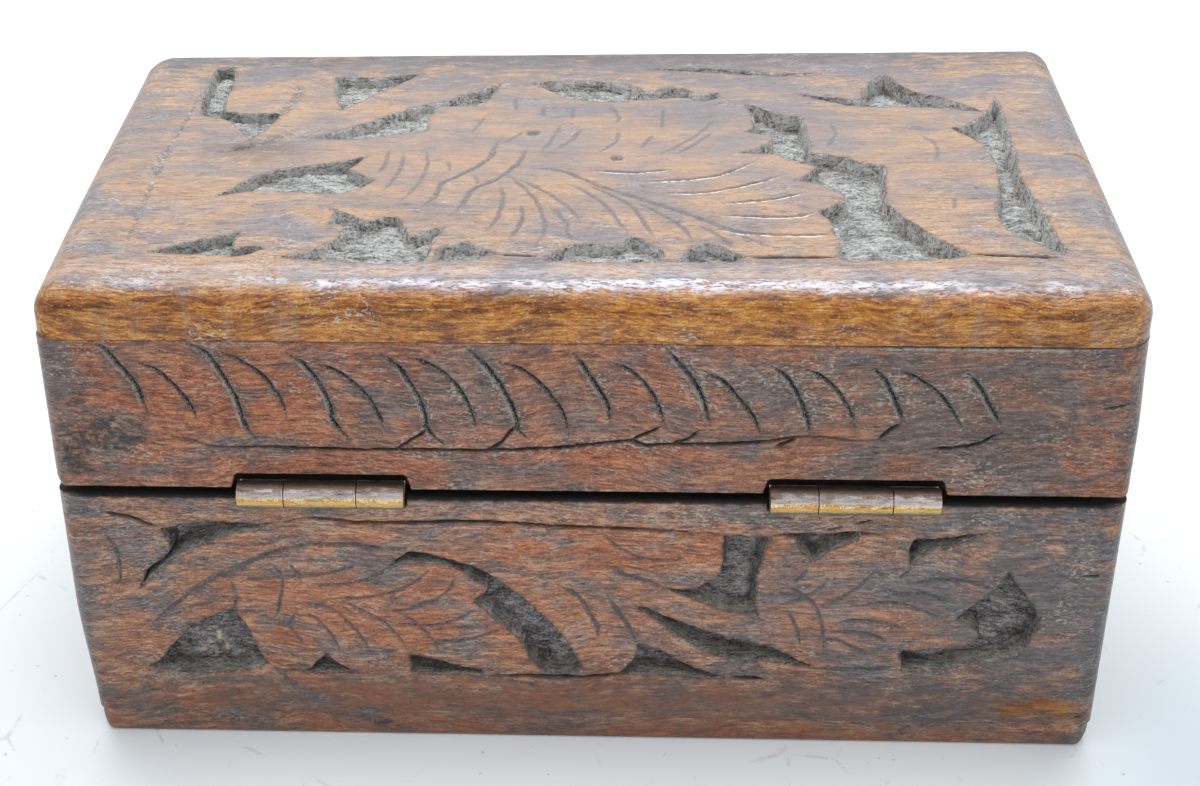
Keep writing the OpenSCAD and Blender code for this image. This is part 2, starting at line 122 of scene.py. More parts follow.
# Carving of the top, as seen from behind: (width, depth, kind of dirt, its strength, lines)
GLOSSY_CUTS = [
    [(1, -6), (7, -6.5), (13, -5.5)],
    [(9, -10), (19, -8), (26, -2.5)],
    [(12, -14), (17, -13.8), (21, -12.5), (26, -10), (30, -7.5)],
    [(20, -17.5), (27.5, -16), (33, -13.5)],
    [(20, -21.5), (30, -21.8), (34, -20.3)],
    [(19, -26), (24, -27.3), (30, -27.8), (36, -27.5)],
]
TOP_STROKES = [
    (1.1, 0.22, "groove", 0.8, [
        [(31, -33.5), (26, -31), (21.5, -27), (14, -20.5), (8, -16.5), (2, -12), (-4, -6.5), (-8, -5.3),
         (-12, -4.5)],
        [(26, -29.5), (19, -24.5), (12, -19), (5, -14), (0.5, -10.5)],
        [(-10, 3.5), (-10.5, 0.5), (-11.5, -3.5), (-13.5, -7.5), (-15, -10), (-18, -13), (-19, -17),
         (-20, -20), (-21, -22)],
        [(-14.5, 6.5), (-15.5, 2.5), (-16, -1.5), (-18.5, -5.5), (-21, -8.5), (-23, -11), (-23.5, -14.5),
         (-25, -18.5), (-26.5, -20)],
    ]),
    (0.95, 0.16, "groove", 0.75, [
        [(-4, -10), (0, -14.5), (3, -19.5), (4.5, -24), (6, -28)],
        [(-1.5, -10), (4, -15.5), (7, -20), (8.5, -25), (10, -29.5)],
        [(6.5, -16.5), (10.5, -21), (13.5, -25), (15, -28.5), (15.5, -31)],
        [(16, -24.5), (19, -28), (21.5, -32.5)],
        [(-11, -9), (-7.5, -13), (-4.5, -17), (-2.5, -20.5), (-1, -24.5)],
        [(-13, -7.5), (-10, -12.5), (-8, -17.5), (-7, -22), (-6.5, -26.5), (-7.8, -32)],
        [(-6, -19), (-3.5, -24), (-3, -28), (-2, -31)],
        [(-14, -11), (-13.3, -15), (-13.3, -18.5), (-14, -23.5), (-15.5, -27.5)],
        [(-10.5, -18), (-10, -21.5), (-10.5, -26), (-12, -30)],
    ]),
    (0.85, 0.13, "groove", 0.65, [
        [(-26.5, 2), (-25.8, -2.5), (-26, -7.5), (-27, -12.5), (-28.5, -16.5), (-29.3, -18.5)],
        [(-22.5, -2.5), (-22, -6.5)],
        [(-30, 1), (-29.8, -4), (-30.5, -9), (-32, -14)],
        [(-32.3, 1.5), (-32.5, -4), (-33.3, -7.5)],
        [(-18, -7.5), (-17.3, -11)],
        [(-11, 9), (-14, 4.5)],
        [(-5, 11.5), (-6.5, 5), (-8, 1)],
        [(-1.5, 10.5), (-3, 6), (-5.5, 2)],
        [(4.5, 10), (4, 5), (1, 0.5)],
        [(10, 7.5), (8, 2.5)],
        [(20.5, 14), (17, 7.5), (14, 3.5), (11, 0)],
        [(20, 9), (16.5, 4), (13.5, 0)],
        [(-17.5, 15.5), (-19.5, 8.5)],
        [(-13, 24), (-12.5, 17.5)],
        [(-8, 20), (-8, 15)],
        [(-3, 20), (-3.2, 14)],
        [(3, 20), (4.5, 15), (4, 12)],
        [(12, 19), (11.5, 10)],
        [(39, 12.5), (39.5, 8.5), (38.5, 5), (37.5, 2.5)],
        [(53, 8), (55, 4), (54.8, 0), (54, -2)],
        [(55.5, -15), (54.8, -19)],
    ]),
    (0.75, 0.4, "groove", 0.5, GLOSSY_CUTS),
    (2.4, 0.4, "groove", 1.0, [[(-10.5, 8.3), (-8.3, 8.8)], [(3.2, -1.4), (5.2, -1.1)]]),
    # Painted shade along the near border
    (0.8, 0.6, "painted_shade", 0.9, [
        [(-13, -34.5), (-7.5, -35)],
        [(22.5, -34.8), (36, -34.8)],
        [(55, -33.5), (68, -34.5)],
    ]),
    (1.1, 0.3, "dusty", 0.55, [
        [(-66.5, 36), (-67.2, 20), (-68, 5), (-68.8, -4), (-68.3, -14), (-68.5, -35)],
    ]),
    (2.6, 0.5, "dusty", 0.6, [
        [(-50, 30), (-50.6, 22), (-52.5, 14.5)],
        [(-59.5, 0.5), (-53, 5), (-48, 10)],
        [(-67.8, 2), (-68.6, -4), (-68.4, -10)],
    ]),
]

# Carving of the lid's rear rail, as [u, height over the floor]
HEAVY_CUTS = [
    [(-71.3, 73.0), (-69.9, 72.1), (-68.1, 69.4), (-66, 66.4), (-65.4, 64.4), (-64.5, 61)],
    [(-57.4, 73), (-54.9, 71.2), (-53.1, 68), (-51.3, 63.9), (-50.1, 58.5), (-48.5, 56.4)],
    [(-42.9, 71.2), (-40.8, 69.4), (-38.5, 65.7), (-37.4, 62.3), (-37.2, 59.8), (-34.7, 56.4)],
    [(-29.7, 71.4), (-27, 68.9), (-24.6, 64.4), (-23.5, 60.7), (-23.3, 58.5), (-21, 56)],
    [(-16.9, 72.3), (-14.9, 70), (-12.4, 66.2), (-11, 63), (-10.1, 60.3), (-9.9, 58.5), (-8.3, 57.1)],
    [(-1.9, 71.9), (-0.1, 68.9), (1.7, 65.7), (3.1, 63), (3.5, 60.3)],
    [(11.3, 72.5), (13.5, 69.8), (15.4, 67.1), (16.7, 64.4), (17.6, 61.2), (18.1, 59.8)],
    [(26.4, 69.8), (28.6, 68), (30.5, 64.8), (31.8, 61.6), (32.5, 58.5)],
    [(40.7, 69.8), (42.7, 67.5), (44.5, 63.9), (45.9, 60.7)],
    [(54.3, 68.9), (56.4, 66.2), (58.2, 63), (59.8, 60.5)],
]
FINE_CUTS = [
    [(-64.9, 69.6), (-62.2, 68.2), (-59.9, 65.5), (-58.3, 63), (-57.2, 59.8)],
    [(-52.6, 71.4), (-49.9, 70), (-47.2, 67.8), (-45.4, 65.3), (-44.2, 62.1), (-44, 60.5)],
    [(-39.7, 70), (-36.3, 68.5), (-33.5, 66.2), (-31.7, 63.9), (-30.1, 60.3), (-29.9, 58)],
    [(-26.2, 71.2), (-22.8, 69.8), (-20.1, 67.8), (-17.8, 64.4), (-16.5, 60.7), (-16, 58.5)],
    [(-12.8, 70.3), (-9.6, 69.1), (-6.9, 66.9), (-4.6, 63.9), (-3.3, 61.2), (-2.6, 58)],
    [(3.1, 70.5), (6.3, 68.9), (8.8, 66.2), (10.4, 63), (11.5, 59.6)],
    [(16.3, 69.1), (19.5, 67.3), (21.7, 64.8), (24, 61.6), (25.5, 58)],
    [(30.9, 69.6), (34.1, 67.8), (36.4, 65.3), (38.2, 62.1), (38.9, 59.4)],
    [(44.1, 69.4), (47.3, 68), (50.5, 65.5), (52.7, 62.5), (54.3, 59.8)],
]
UNDER_LINE = [
    [(-61.3, 56.9), (-58.5, 56.4), (-54.9, 55.3), (-44.9, 55.2), (-34.9, 54.9), (-28.3, 55), (-20.1, 55),
     (-15.1, 55), (-5.1, 55.5), (0.4, 56.2), (6.3, 56.9), (8.5, 56.2), (12.2, 56.4), (20, 56.6), (26, 57.1),
     (32.7, 58), (39.5, 57.3), (42.3, 57.5)],
    [(-28.3, 55), (-25.5, 56.9), (-23.3, 58.5)],
    [(-15.1, 55), (-12.8, 56.2), (-11, 58.5), (-9.9, 59.8)],
    [(6.3, 56.9), (9.5, 58.7), (10.8, 59.6)],
    [(12.2, 56.4), (14.9, 57.5), (16.3, 58.9)],
    [(27.7, 56.2), (30.5, 57.5)],
    [(42.3, 57.5), (44.1, 59.4), (45.5, 60.5)],
    [(50, 56.2), (52.7, 56.2), (56.4, 56.9), (59.1, 58.5), (60, 59.1)],
]
# Some rows paint shade into the middle of the cuts and along the line under them
RAIL_STROKES = [
    (4.6, 0.05, "halo", 1.0, HEAVY_CUTS),
    (2.6, 0.05, "halo", 0.75, FINE_CUTS + UNDER_LINE),
    (1.15, 0.6, "groove", 1.0, HEAVY_CUTS),
    (0.5, 0.8, "painted_shade", 0.6, HEAVY_CUTS),
    (0.75, 0.5, "groove", 1.0, FINE_CUTS),
    (0.4, 0.65, "painted_shade", 0.6, FINE_CUTS),
    (0.7, 0.5, "painted_shade", 0.9, UNDER_LINE),
]

# Depth of a stroke that only carries colour, and widths of the painted shade along the two rims of the gap
PAINTED = 0.02
RAIL_GAP_SHADE_W = 0.6
BASE_GAP_SHADE_W = 1.3

# Painted highlights along one side of the cuts, on the rail partly pale dust: how far from the cut, in u and
# v, and the lines' width and strength
GLINT_BESIDE_HEAVY = (-0.52, -0.15)
GLINT_BELOW_GLOSSY = (0.0, -0.5)
HEAVY_GLINTS = [(0.36, PAINTED, "glint", 0.75, HEAVY_CUTS)]
GLOSSY_GLINTS = [(0.5, PAINTED, "glint", 1.0, GLOSSY_CUTS)]

# Open glue line under the top board at the right, as [u, depth under the seam]
SEAM_CRACK = [(30, 0.1), (41, 0.2), (48, 0.12), (55, 0.25), (62, 0.14), (69, 0.24), (74, 0.1), (79, 0.1)]
SEAM_GLUE = [(36, 0.5), (44, 0.55), (50, 0.5), (57, 0.62), (63, 0.52), (69, 0.6), (74, 0.45)]
RAIL_CRACKS = [[(73.9, 63.1), (75.6, 63.5), (77.5, 64)]]

# Carving of the base's rear wall. The left half is cut on every wall of the base.
LEFT_STROKES = [
    (1.0, 0.5, "groove", 0.8, [
        [(-69.2, 20.2), (-67.6, 22.3), (-65.4, 24.5), (-62.6, 27), (-59.9, 29.1), (-56.7, 31.4), (-54, 32.7),
         (-50.4, 34.8), (-47.6, 36.1), (-44.9, 36.9), (-41.7, 37.6), (-38.5, 37.7), (-35.4, 37.6),
         (-31.7, 37.1),
         (-28.1, 36.8), (-26.5, 38.1)],
    ]),
    (1.8, 0.5, "groove", 0.8, [[(-63, 26.7), (-59.9, 29.1), (-56.7, 31.4), (-54, 32.7), (-50.4, 34.8)]]),
    (0.7, 0.35, "groove", 0.75, [
        [(-62.6, 25.1), (-57.6, 26.4)],
        [(-49.5, 13.9), (-47, 11)],
        [(-47.6, 14.1), (-43.1, 13.9)],
        [(-74, 39.8), (-72.9, 38.2), (-72.1, 36.4), (-71.8, 33.2), (-72, 30.9), (-72.4, 28.6)],
        [(-50, 13), (-43, 13)],
        [(-54.9, 30.2), (-49.9, 31.1), (-44.5, 31.6), (-40.4, 32), (-36.7, 33.2), (-33.5, 34.5)],
        [(-42.2, 30.1), (-38.1, 30.1), (-34.9, 30.7), (-32.2, 32), (-29.9, 33.9)],
        [(-39.5, 27.4), (-35.4, 27.5), (-32.2, 28), (-29.5, 28.9), (-26.7, 30.5), (-25.1, 31.8), (-24, 33.2)],
        [(-31.7, 25.5), (-28.5, 25.2), (-25.8, 26.4), (-23.1, 27.5), (-21, 29.5), (-20.1, 31.8)],
        [(-30.5, 22.7), (-26.9, 22.4), (-23.3, 22.5), (-20.1, 23.6), (-17.8, 25.2), (-16.5, 25.9)],
        [(-25.1, 19.1), (-20.1, 19.5), (-16.9, 20.2), (-14.2, 21.4), (-11.9, 22.7)],
        [(-54.9, 30.5), (-54.2, 27.3), (-54.9, 25.3)],
        [(-48.5, 34.3), (-47, 32), (-46.8, 30), (-47.4, 26.8), (-47.9, 24.5), (-49, 23.2)],
        [(-45.6, 33.9), (-44.2, 32), (-44, 30.5)],
        [(-44.5, 26.6), (-41.3, 26.1), (-38.5, 24.5), (-36.7, 22.3), (-34.9, 19.5), (-33.5, 16.1)],
        [(-44.5, 24.5), (-42.6, 23.9), (-41, 22), (-39.7, 20), (-38.5, 16.8)],
        [(-48.1, 23.2), (-46.3, 21.8), (-45.1, 19.8), (-44, 17.3)],
        [(-46.3, 22), (-45.4, 24.3)],
        [(-39.9, 26.6), (-37.2, 26.6), (-34.9, 25.2), (-31.7, 23.2), (-29.9, 20.9), (-27.6, 17)],
        [(-29.5, 25), (-26.7, 23.2), (-24.9, 20.9), (-23.5, 18.6), (-22.6, 16.7)],
    ]),
]
UPPER_BORDER = [
    [(-73.3, 43.2), (-69.9, 42.5), (-66.7, 41.1), (-64.9, 40.5)],
    [(-47.6, 41.4), (-44.9, 41.9), (-43.1, 42.5), (-39.9, 42.4), (-34, 41.8), (-25, 41.9), (-20.1, 42.2),
     (-15.1, 42.1), (-10.1, 41.9), (-5.1, 41.5), (4.9, 41.2), (9.9, 41), (14.9, 40.7), (19.9, 40.5)],
    [(28, 40.4), (30, 40.4), (35, 40.4), (41.1, 40.9), (45, 40.8)],
]
LOWER_BORDER = [
    [(-15.1, 12.6), (-5.1, 12.7), (-0.1, 12.6), (4.9, 13.2), (7.6, 13.6)],
    [(22.6, 13), (28.2, 12.7)],
]
RIGHT_STROKES = [
    # Painted shade along the upper and lower borders, under their edges
    (0.85, 0.6, "painted_shade", 0.75, UPPER_BORDER + LOWER_BORDER),
    (0.95, 0.45, "groove", 0.85, [
        [(-4.2, 30.5), (-2.4, 29.5), (-0.5, 27.3), (0.6, 25), (1.7, 22.7), (2.1, 20)],
        [(3.3, 28.6), (4.5, 26.4), (5.8, 24.1), (7.2, 21.4), (8, 19.1)],
        [(3.5, 34.1), (6.3, 32.5), (9.5, 31.4), (12.2, 30.2)],
        [(35.7, 15.1), (40, 15), (44.5, 15.1), (47.3, 15.5), (48.9, 16.1)],
        [(48.6, 31.4), (50.9, 32.1), (53.6, 32.5), (56.4, 32.4), (59.1, 31.9), (61.6, 30.9)],
    ]),
    (0.7, 0.35, "groove", 0.8, [
        [(2.2, 40.9), (4, 38.6), (6.3, 36.8), (9, 35.7), (12.2, 35.5), (14.9, 35.5)],
        [(49.5, 35), (47.3, 32.5)],
        [(45, 29.1), (48.2, 29.7), (51.4, 29.8), (54.1, 29), (56.4, 27.9)],
        [(41.4, 27.3), (44.5, 27.9), (47.7, 27.9), (50.5, 27), (53.2, 25.7), (55, 25)],
        [(37.7, 23.4), (40.5, 24.5), (43.6, 24.5), (46.4, 24), (49.5, 22.5)],
        [(36.8, 22), (39.5, 22.4), (42.3, 22.2), (44.5, 21.6), (46.8, 20.2)],
        [(35.5, 20.9), (39.1, 20.5), (41.4, 19.3), (44.1, 18)],
        [(29.3, 31.4), (31.8, 30.2), (34.1, 28.4), (35.7, 25.9), (36.4, 23.2), (36.8, 20.5), (36.8, 18.2)],
        [(30.7, 26.8), (31.8, 24.5), (32.7, 22.3), (33.2, 19.1)],
        [(33.6, 34.3), (32.7, 32.7), (31.6, 31.6)],
        [(36.6, 32), (35, 30), (32.7, 28.6), (30.2, 27.7)],
        [(44.1, 34.8), (42.7, 32.7), (41.4, 30.9), (39.1, 29.1), (36.1, 27.3)],
    ]),
]
BASE_CRACKS = [
    [(76.4, 5.8), (77.4, 6.1), (78.4, 6.2)],
    [(75, 33.5), (76.5, 33.6), (78, 33.7)],
    [(35.5, 41.4), (36.8, 41.6), (38.2, 42)],
    [(40.2, 42.7), (41.6, 43.1), (43.2, 43.6)],
]

# Marks on the wood, by attribute: (u, v, half width, half height, strength)
RAIL_MARKS = {
    "stain": [(-71.2, 57, 6.2, 3.3, 1), (-75.4, 52.6, 2.3, 3.6, 1), (-74.6, 63.2, 1.6, 1.3, 0.7),
              (62, 57, 9, 3.5, 0.35)],
    # Grey marks at the rounded ends are a painted sheen; the others are greyer wood
    "grey_and_sheen": [(-79, 62, 4, 14, 0.8), (79, 62, 3.5, 14, 0.9), (52, 62, 40, 16, 0.55), (-10, 50, 20, 2, 0.2),
             (62, 62, 24, 16, 0.7)],
    "red": [(5, 63, 22, 7, 0.15), (-35, 52, 40, 4, 0.6), (10, 54.3, 30, 2.2, 1), (-52, 63, 30, 10, 0.75)],
    "dust": [(40, 68, 45, 8, 0.5), (-77, 72, 6, 2, 0.6)],
    "worn": [(-20, 48, 55, 0.22, 0.55)],
    "polish": [(-79.5, 60, 2, 14, 1), (79.5, 60, 2, 14, 1)],
}
BASE_MARKS = {
    "stain": [(-73.5, 31.5, 1.6, 1.2, 0.5)],
    "red": [(-30, 26, 34, 14, 0.7), (5, 37, 30, 5, 0.9), (42, 25, 14, 9, 0.5), (-20, 8, 60, 3, 0.5)],
    # Grey marks at the rounded ends are a painted sheen; the others are greyer wood
    "grey_and_sheen": [(-79, 25, 4, 22, 0.9), (79, 25, 4, 22, 0.9), (55, 20, 30, 26, 0.45), (0, 44.5, 80, 2, 0.35),
             (66, 24, 22, 26, 1)],
    "gold": [(72, 7.8, 10, 2.6, 1)],
    "shade": [(0, 7, 160, 8.5, 0.9)],
    "dust": [(0, 43.5, 60, 2.5, 0.6), (30, 33, 22, 6, 0.45)],
    "chip": [(-58, 17.9, 0.5, 1.2, 1), (-59.7, 16.6, 1.1, 0.35, 0.9), (-57, 15.4, 0.35, 0.9, 0.8),
             (-60.9, 15, 0.8, 0.3, 0.8), (-58.8, 14.4, 0.3, 0.6, 0.7)],
    "polish": [(-79.5, 25, 2, 24, 1), (79.5, 25, 2, 24, 1)],
    "soft": [(0, 7, 110, 6.5, 0.9), (0, 25, 110, 14, 0.25)],
}
BOTTOM_MARKS = {
    "stain": [(-32.2, 2.4, 2.4, 1, 1)],
    "red": [(0, 1.5, 80, 3, 0.5)],
    "grey_and_sheen": [(79, 2, 3, 4, 0.6)],
    "soft": [(0, 1, 110, 5, 0.7)],
    "shade": [(0, 1, 160, 6, 0.8)],
}
TOP_MARKS = {
    "soft": [(0, 6, 100, 42, 1)],
    "gold": [(0, -46.1, 260, 2.9, 1)],
    # Grey marks along the near edge and at the ends are a painted sheen; the others are greyer wood
    "grey_and_sheen": [(0, 40, 90, 12, 1), (22, 17, 26, 7, 0.5), (10, -42.6, 74, 1.8, 1), (76, 0, 4, 50, 0.4),
             (-74, 10, 6, 40, 0.3), (55, -41.5, 20, 2.5, 0.5)],
    "shade": [(0, 46, 160, 9, 1), (-54, 2, 9, 5, 1)],
    # Pale flecks of painted sheen along the near edge's highlight
    "sheen": [(12, -43, 72, 1.5, 1), (-66, -43.5, 7, 1, 0.5), (0, -39.8, 95, 2.6, 0.3)],
    "worn": [(-48, -46.25, 4.5, 0.04, 1), (-22, -46.1, 6, 0.03, 0.8), (18, -45.9, 5, 0.05, 0.7)],
    "stain": [(55.5, -39.5, 1.3, 0.8, 0.6), (77, 0.5, 3, 0.5, 0.8), (-77, 0.5, 3, 0.5, 0.6)],
    "red": [(30, -44, 50, 3, 0.4)],
    "polish": [(0, -43, 95, 2.5, 1), (-76, -10, 3, 60, 0.6), (76, -10, 3, 60, 0.6)],
}


class Noise:
    """Smooth seeded noise over a plane, between about -1 and 1."""

    def __init__(self, seed):
        rng = np.random.default_rng(seed)
        self.order = rng.permutation(256)
        angle = rng.uniform(0, 2 * np.pi, 256)
        self.gx, self.gy = np.cos(angle), np.sin(angle)

    def __call__(self, x, y):
        xi, yi = np.floor(x).astype(int), np.floor(y).astype(int)
        fx, fy = x - xi, y - yi
        sx = fx ** 3 * (fx * (fx * 6 - 15) + 10)
        sy = fy ** 3 * (fy * (fy * 6 - 15) + 10)

        def corner(i, j):
            h = self.order[(self.order[(xi + i) & 255] + yi + j) & 255]
            return self.gx[h] * (fx - i) + self.gy[h] * (fy - j)

        near = corner(0, 0) * (1 - sx) + corner(1, 0) * sx
        far = corner(0, 1) * (1 - sx) + corner(1, 1) * sx
        return 1.5 * (near * (1 - sy) + far * sy)

    def layers(self, x, y, count=4, gain=0.5):
        total, size = np.zeros(np.shape(x)), 1.0
        for k in range(count):
            total += size * self(x * 2 ** k + 17.3 * k, y * 2 ** k + 9.1 * k)
            size *= gain
        return total


def smooth(low, high, x):
    t = np.clip((x - low) / (high - low), 0, 1)
    return t * t * (3 - 2 * t)


class Face:
    """The plane of a board's outer face and its directions."""

    def __init__(self, u_axis, v_axis, w_axis, out):
        self.axes = np.array([u_axis, v_axis, w_axis], float)
        self.out = out

    def world(self, u, v, w):
        return np.stack([u, v, w + self.out], axis=-1) @ self.axes

    def local(self, points):
        found = points @ self.axes.T
        found[..., 2] -= self.out
        return found


TOP = Face((-1, 0, 0), (0, -1, 0), (0, 0, 1), BOX_H)
REAR = Face((-1, 0, 0), (0, 0, 1), (0, 1, 0), BOX_D / 2)
FRONT = Face((1, 0, 0), (0, 0, 1), (0, -1, 0), BOX_D / 2)
RIGHT = Face((0, 1, 0), (0, 0, 1), (1, 0, 0), BOX_W / 2)
LEFT = Face((0, -1, 0), (0, 0, 1), (-1, 0, 0), BOX_W / 2)
UNDER = Face((1, 0, 0), (0, -1, 0), (0, 0, -1), 0.0)


def cut_rings(node, face):
    """The outlines cut into the outer face of a CAD board, as rings of [u, v]."""
    mesh = frame["nodes"][node].data
    mesh.calc_loop_triangles()
    points = np.empty(len(mesh.vertices) * 3, np.float32)
    mesh.vertices.foreach_get("co", points)
    points = face.local(points.reshape(-1, 3).astype(float) / MM)
    corners = np.empty(len(mesh.loop_triangles) * 3, np.int32)
    mesh.loop_triangles.foreach_get("vertices", corners)
    corners = corners.reshape(-1, 3)
    flat = corners[(np.abs(points[corners][..., 2]) < 0.01).all(axis=1)]
    keys = [tuple(k) for k in np.round(points[:, :2], 2)]
    sides = [(keys[t[i]], keys[t[(i + 1) % 3]]) for t in flat for i in range(3)]
    paired = set(sides)
    following = {a: b for a, b in sides if (b, a) not in paired}
    rings = []
    while following:
        start, point = following.popitem()
        ring = [start]
        while point != start:
            ring.append(point)
            point = following.pop(point)
        rings.append(np.array(ring))
    rings.sort(key=lambda r: np.ptp(r[:, 0]) * np.ptp(r[:, 1]))
    return rings[:-1]


def smooth_line(points, step=0.4):
    """A traced line as a smooth curve of close points."""
    p = np.array(points, float)
    p = np.vstack([2 * p[0] - p[1], p, 2 * p[-1] - p[-2]])
    out = []
    for a, b, c, d in zip(p[:-3], p[1:-2], p[2:-1], p[3:]):
        count = max(2, int(np.hypot(*(c - b)) / step))
        t = np.arange(count)[:, None] / count
        out.append(0.5 * (2 * b + (c - a) * t + (2 * a - 5 * b + 4 * c - d) * t ** 2
                          + (3 * b - a - 3 * c + d) * t ** 3))
    return np.vstack(out + [p[-2][None]])


def line_distance(u, v, line):
    """Distance of each point to a line, and how far along the line the nearest place is, from 0 to 1."""
    lengths = np.hypot(*np.diff(line, axis=0).T)
    starts = np.concatenate([[0], np.cumsum(lengths)])
    best = np.full(u.shape, 1e9)
    along = np.zeros(u.shape)
    for i, (a, b) in enumerate(zip(line[:-1], line[1:])):
        d = b - a
        t = np.clip(((u - a[0]) * d[0] + (v - a[1]) * d[1]) / max(d @ d, 1e-12), 0, 1)
        dist = (u - a[0] - t * d[0]) ** 2 + (v - a[1] - t * d[1]) ** 2
        nearer = dist < best
        best[nearer] = dist[nearer]
        along[nearer] = ((starts[i] + t * lengths[i]) / starts[-1])[nearer]
    return np.sqrt(best), along


def ring_inside(u, v, ring):
    inside = np.zeros(u.shape, bool)
    for a, b in zip(ring, np.roll(ring, -1, axis=0)):
        if a[1] == b[1]:
            continue
        crosses = (a[1] > v) != (b[1] > v)
        inside ^= crosses & (u < (b[0] - a[0]) * (v - a[1]) / (b[1] - a[1]) + a[0])
    return inside


RELIEF_MARKS = ("ground", "wall", "groove", "dusty", "rim", "painted_shade", "halo", "glint")
PAINT_MARKS = ("stain", "grey_and_sheen", "red", "gold", "dust", "chip", "worn", "polish", "soft", "shade", "sheen")
CRISP_MARKS = ("stain", "chip", "worn")


class Relief:
    """Depth and marks of a carved face, on a grid of points."""

    def __init__(self, us, vs, seed):
        self.us, self.vs = us, vs
        self.u, self.v = np.meshgrid(us, vs)
        self.depth = np.zeros(self.u.shape)
        self.marks = {k: np.zeros(self.u.shape) for k in RELIEF_MARKS}
        self.noise = Noise(seed)

    def window(self, points, margin):
        low, high = points.min(axis=0) - margin, points.max(axis=0) + margin
        i0, i1 = np.searchsorted(self.us, [low[0], high[0]])
        j0, j1 = np.searchsorted(self.vs, [low[1], high[1]])
        return np.s_[j0:j1, i0:i1]

    def raise_to(self, name, win, value):
        self.marks[name][win] = np.maximum(self.marks[name][win], value)

    def pocket(self, ring, depth, gloom=0.0, wall_w=0.65):
        """Sinks the ground inside a ring, with steep chiselled walls on which gloom paints shade."""
        win = self.window(ring, 2.0)
        u, v = self.u[win], self.v[win]
        if u.size == 0:
            return
        wobble = 0.2
        uw = u + wobble * self.noise.layers(u / 2.6, v / 2.6, 3, 0.6)
        vw = v + wobble * self.noise.layers(u / 2.6 + 40, v / 2.6, 3, 0.6)
        dist, _ = line_distance(uw, vw, np.vstack([ring, ring[:1]]))
        dist = np.where(ring_inside(uw, vw, ring), dist, -dist)
        slope = wall_w * (1 + 0.6 * self.noise.layers(u / 3.1, v / 3.1 + 70, 2))
        fall = smooth(0, 1, dist / slope)
        fibre = self.noise.layers(u / 2.6, v / 1.0 + 11, 4, 0.65)
        gouge = np.abs(self.noise(u / 3.3 + 5, v / 2.0))
        scoop = np.minimum(np.abs(dist) / 4.0, 1.0)
        ground = depth * (1.12 - 0.22 * scoop + 0.2 * self.noise(u / 7, v / 5)) - 0.3 * fibre - 0.45 * gouge
        self.depth[win] = np.maximum(self.depth[win], fall * ground)
        self.raise_to("ground", win, smooth(0.55, 1.3, dist / slope))
        wall = smooth(-0.08, 0.08, dist) * (1 - smooth(0.8, 1.5, dist / slope))
        self.raise_to("wall", win, wall)
        # Gloom paints shade on the walls
        self.raise_to("painted_shade", win, gloom * wall)
        self.raise_to("rim", win, np.exp(-(np.minimum(dist, 0) / 0.35) ** 2) * (dist < 0))

    def stroke(self, points, width, depth, mark, strength, taper=0.2):
        """Cuts a groove along a traced line and marks it as dirty or dusty."""
        line = smooth_line(points)
        win = self.window(line, width)
        u, v = self.u[win], self.v[win]
        if u.size == 0:
            return
        wobble = min(0.14, 0.12 * width)
        uw = u + wobble * self.noise.layers(u / 2.0, v / 2.0 + 30, 3, 0.6)
        vw = v + wobble * self.noise.layers(u / 2.0, v / 2.0 + 90, 3, 0.6)
        dist, along = line_distance(uw, vw, line)
        ends = smooth(0, taper, along) * smooth(0, taper, 1 - along)
        size = (0.35 + 0.65 * ends) * (1 + 0.3 * self.noise(u / 2.1, v / 2.1 + 50))
        across = dist / (0.5 * width * size)
        cut = depth * size * np.clip(1 - across, 0, 1)
        inside = self.marks["ground"][win] + self.marks["wall"][win]
        self.depth[win] = np.maximum(self.depth[win], cut)
        dirty = (0.4 + 0.6 * ends) * (1 - smooth(0.4, 1.15, across)) * (inside < 0.1)
        self.raise_to(mark, win, strength * dirty)

    def strokes(self, groups, move=lambda p: p):
        for width, depth, mark, strength, lines in groups:
            for line in lines:
                self.stroke([move(p) for p in line], width, depth, mark, strength)

    # A crack: a narrow cut painted dark with shade
    def crack(self, points, width=0.35, depth=0.8):
        self.stroke(points, width, depth, "painted_shade", 1.0, taper=0.4)


def spread(low, high, step, r_low, r_high):
    """Places from low to high, step apart, and evenly along the arcs of rounded ends."""
    def arc(r):
        count = max(2, int(math.ceil(r * math.pi / 2 / step)))
        return r - r * np.cos(np.linspace(0, math.pi / 2, count + 1))[:-1] if r > 0 else np.zeros(0)

    a, b = low + r_low, high - r_high
    middle = np.linspace(a, b, int(math.ceil((b - a) / step)) + 1)
    return np.concatenate([low + arc(r_low), middle, high - arc(r_high)[::-1]])


def edge_drop(e, r):
    """How far a face rounded by r falls at the distance e from its edge."""
    if np.max(r) <= 0:
        return np.zeros(np.shape(e))
    k = np.clip(r - e, 0, r)
    return r - np.sqrt(r * r - k * k)


def round_corners(u, v, span, radii):
    """Bends the square corners of a face into arcs, with radii for the lower two and the upper two."""
    u0, u1, v0, v1 = span
    u, v = u.copy(), v.copy()
    corners = [(u0, v0, -1, -1), (u1, v0, 1, -1), (u0, v1, -1, 1), (u1, v1, 1, 1)]
    for (cu, cv, su, sv), r in zip(corners, radii):
        if r <= 0:
            continue
        a = (u - (cu - su * r)) * su / r
        b = (v - (cv - sv * r)) * sv / r
        there = (a > 0) & (b > 0)
        a, b = np.clip(a, 0, 1), np.clip(b, 0, 1)
        u = np.where(there, cu - su * r + su * r * a * np.sqrt(1 - b * b / 2), u)
        v = np.where(there, cv - sv * r + sv * r * b * np.sqrt(1 - a * a / 2), v)
    return u, v


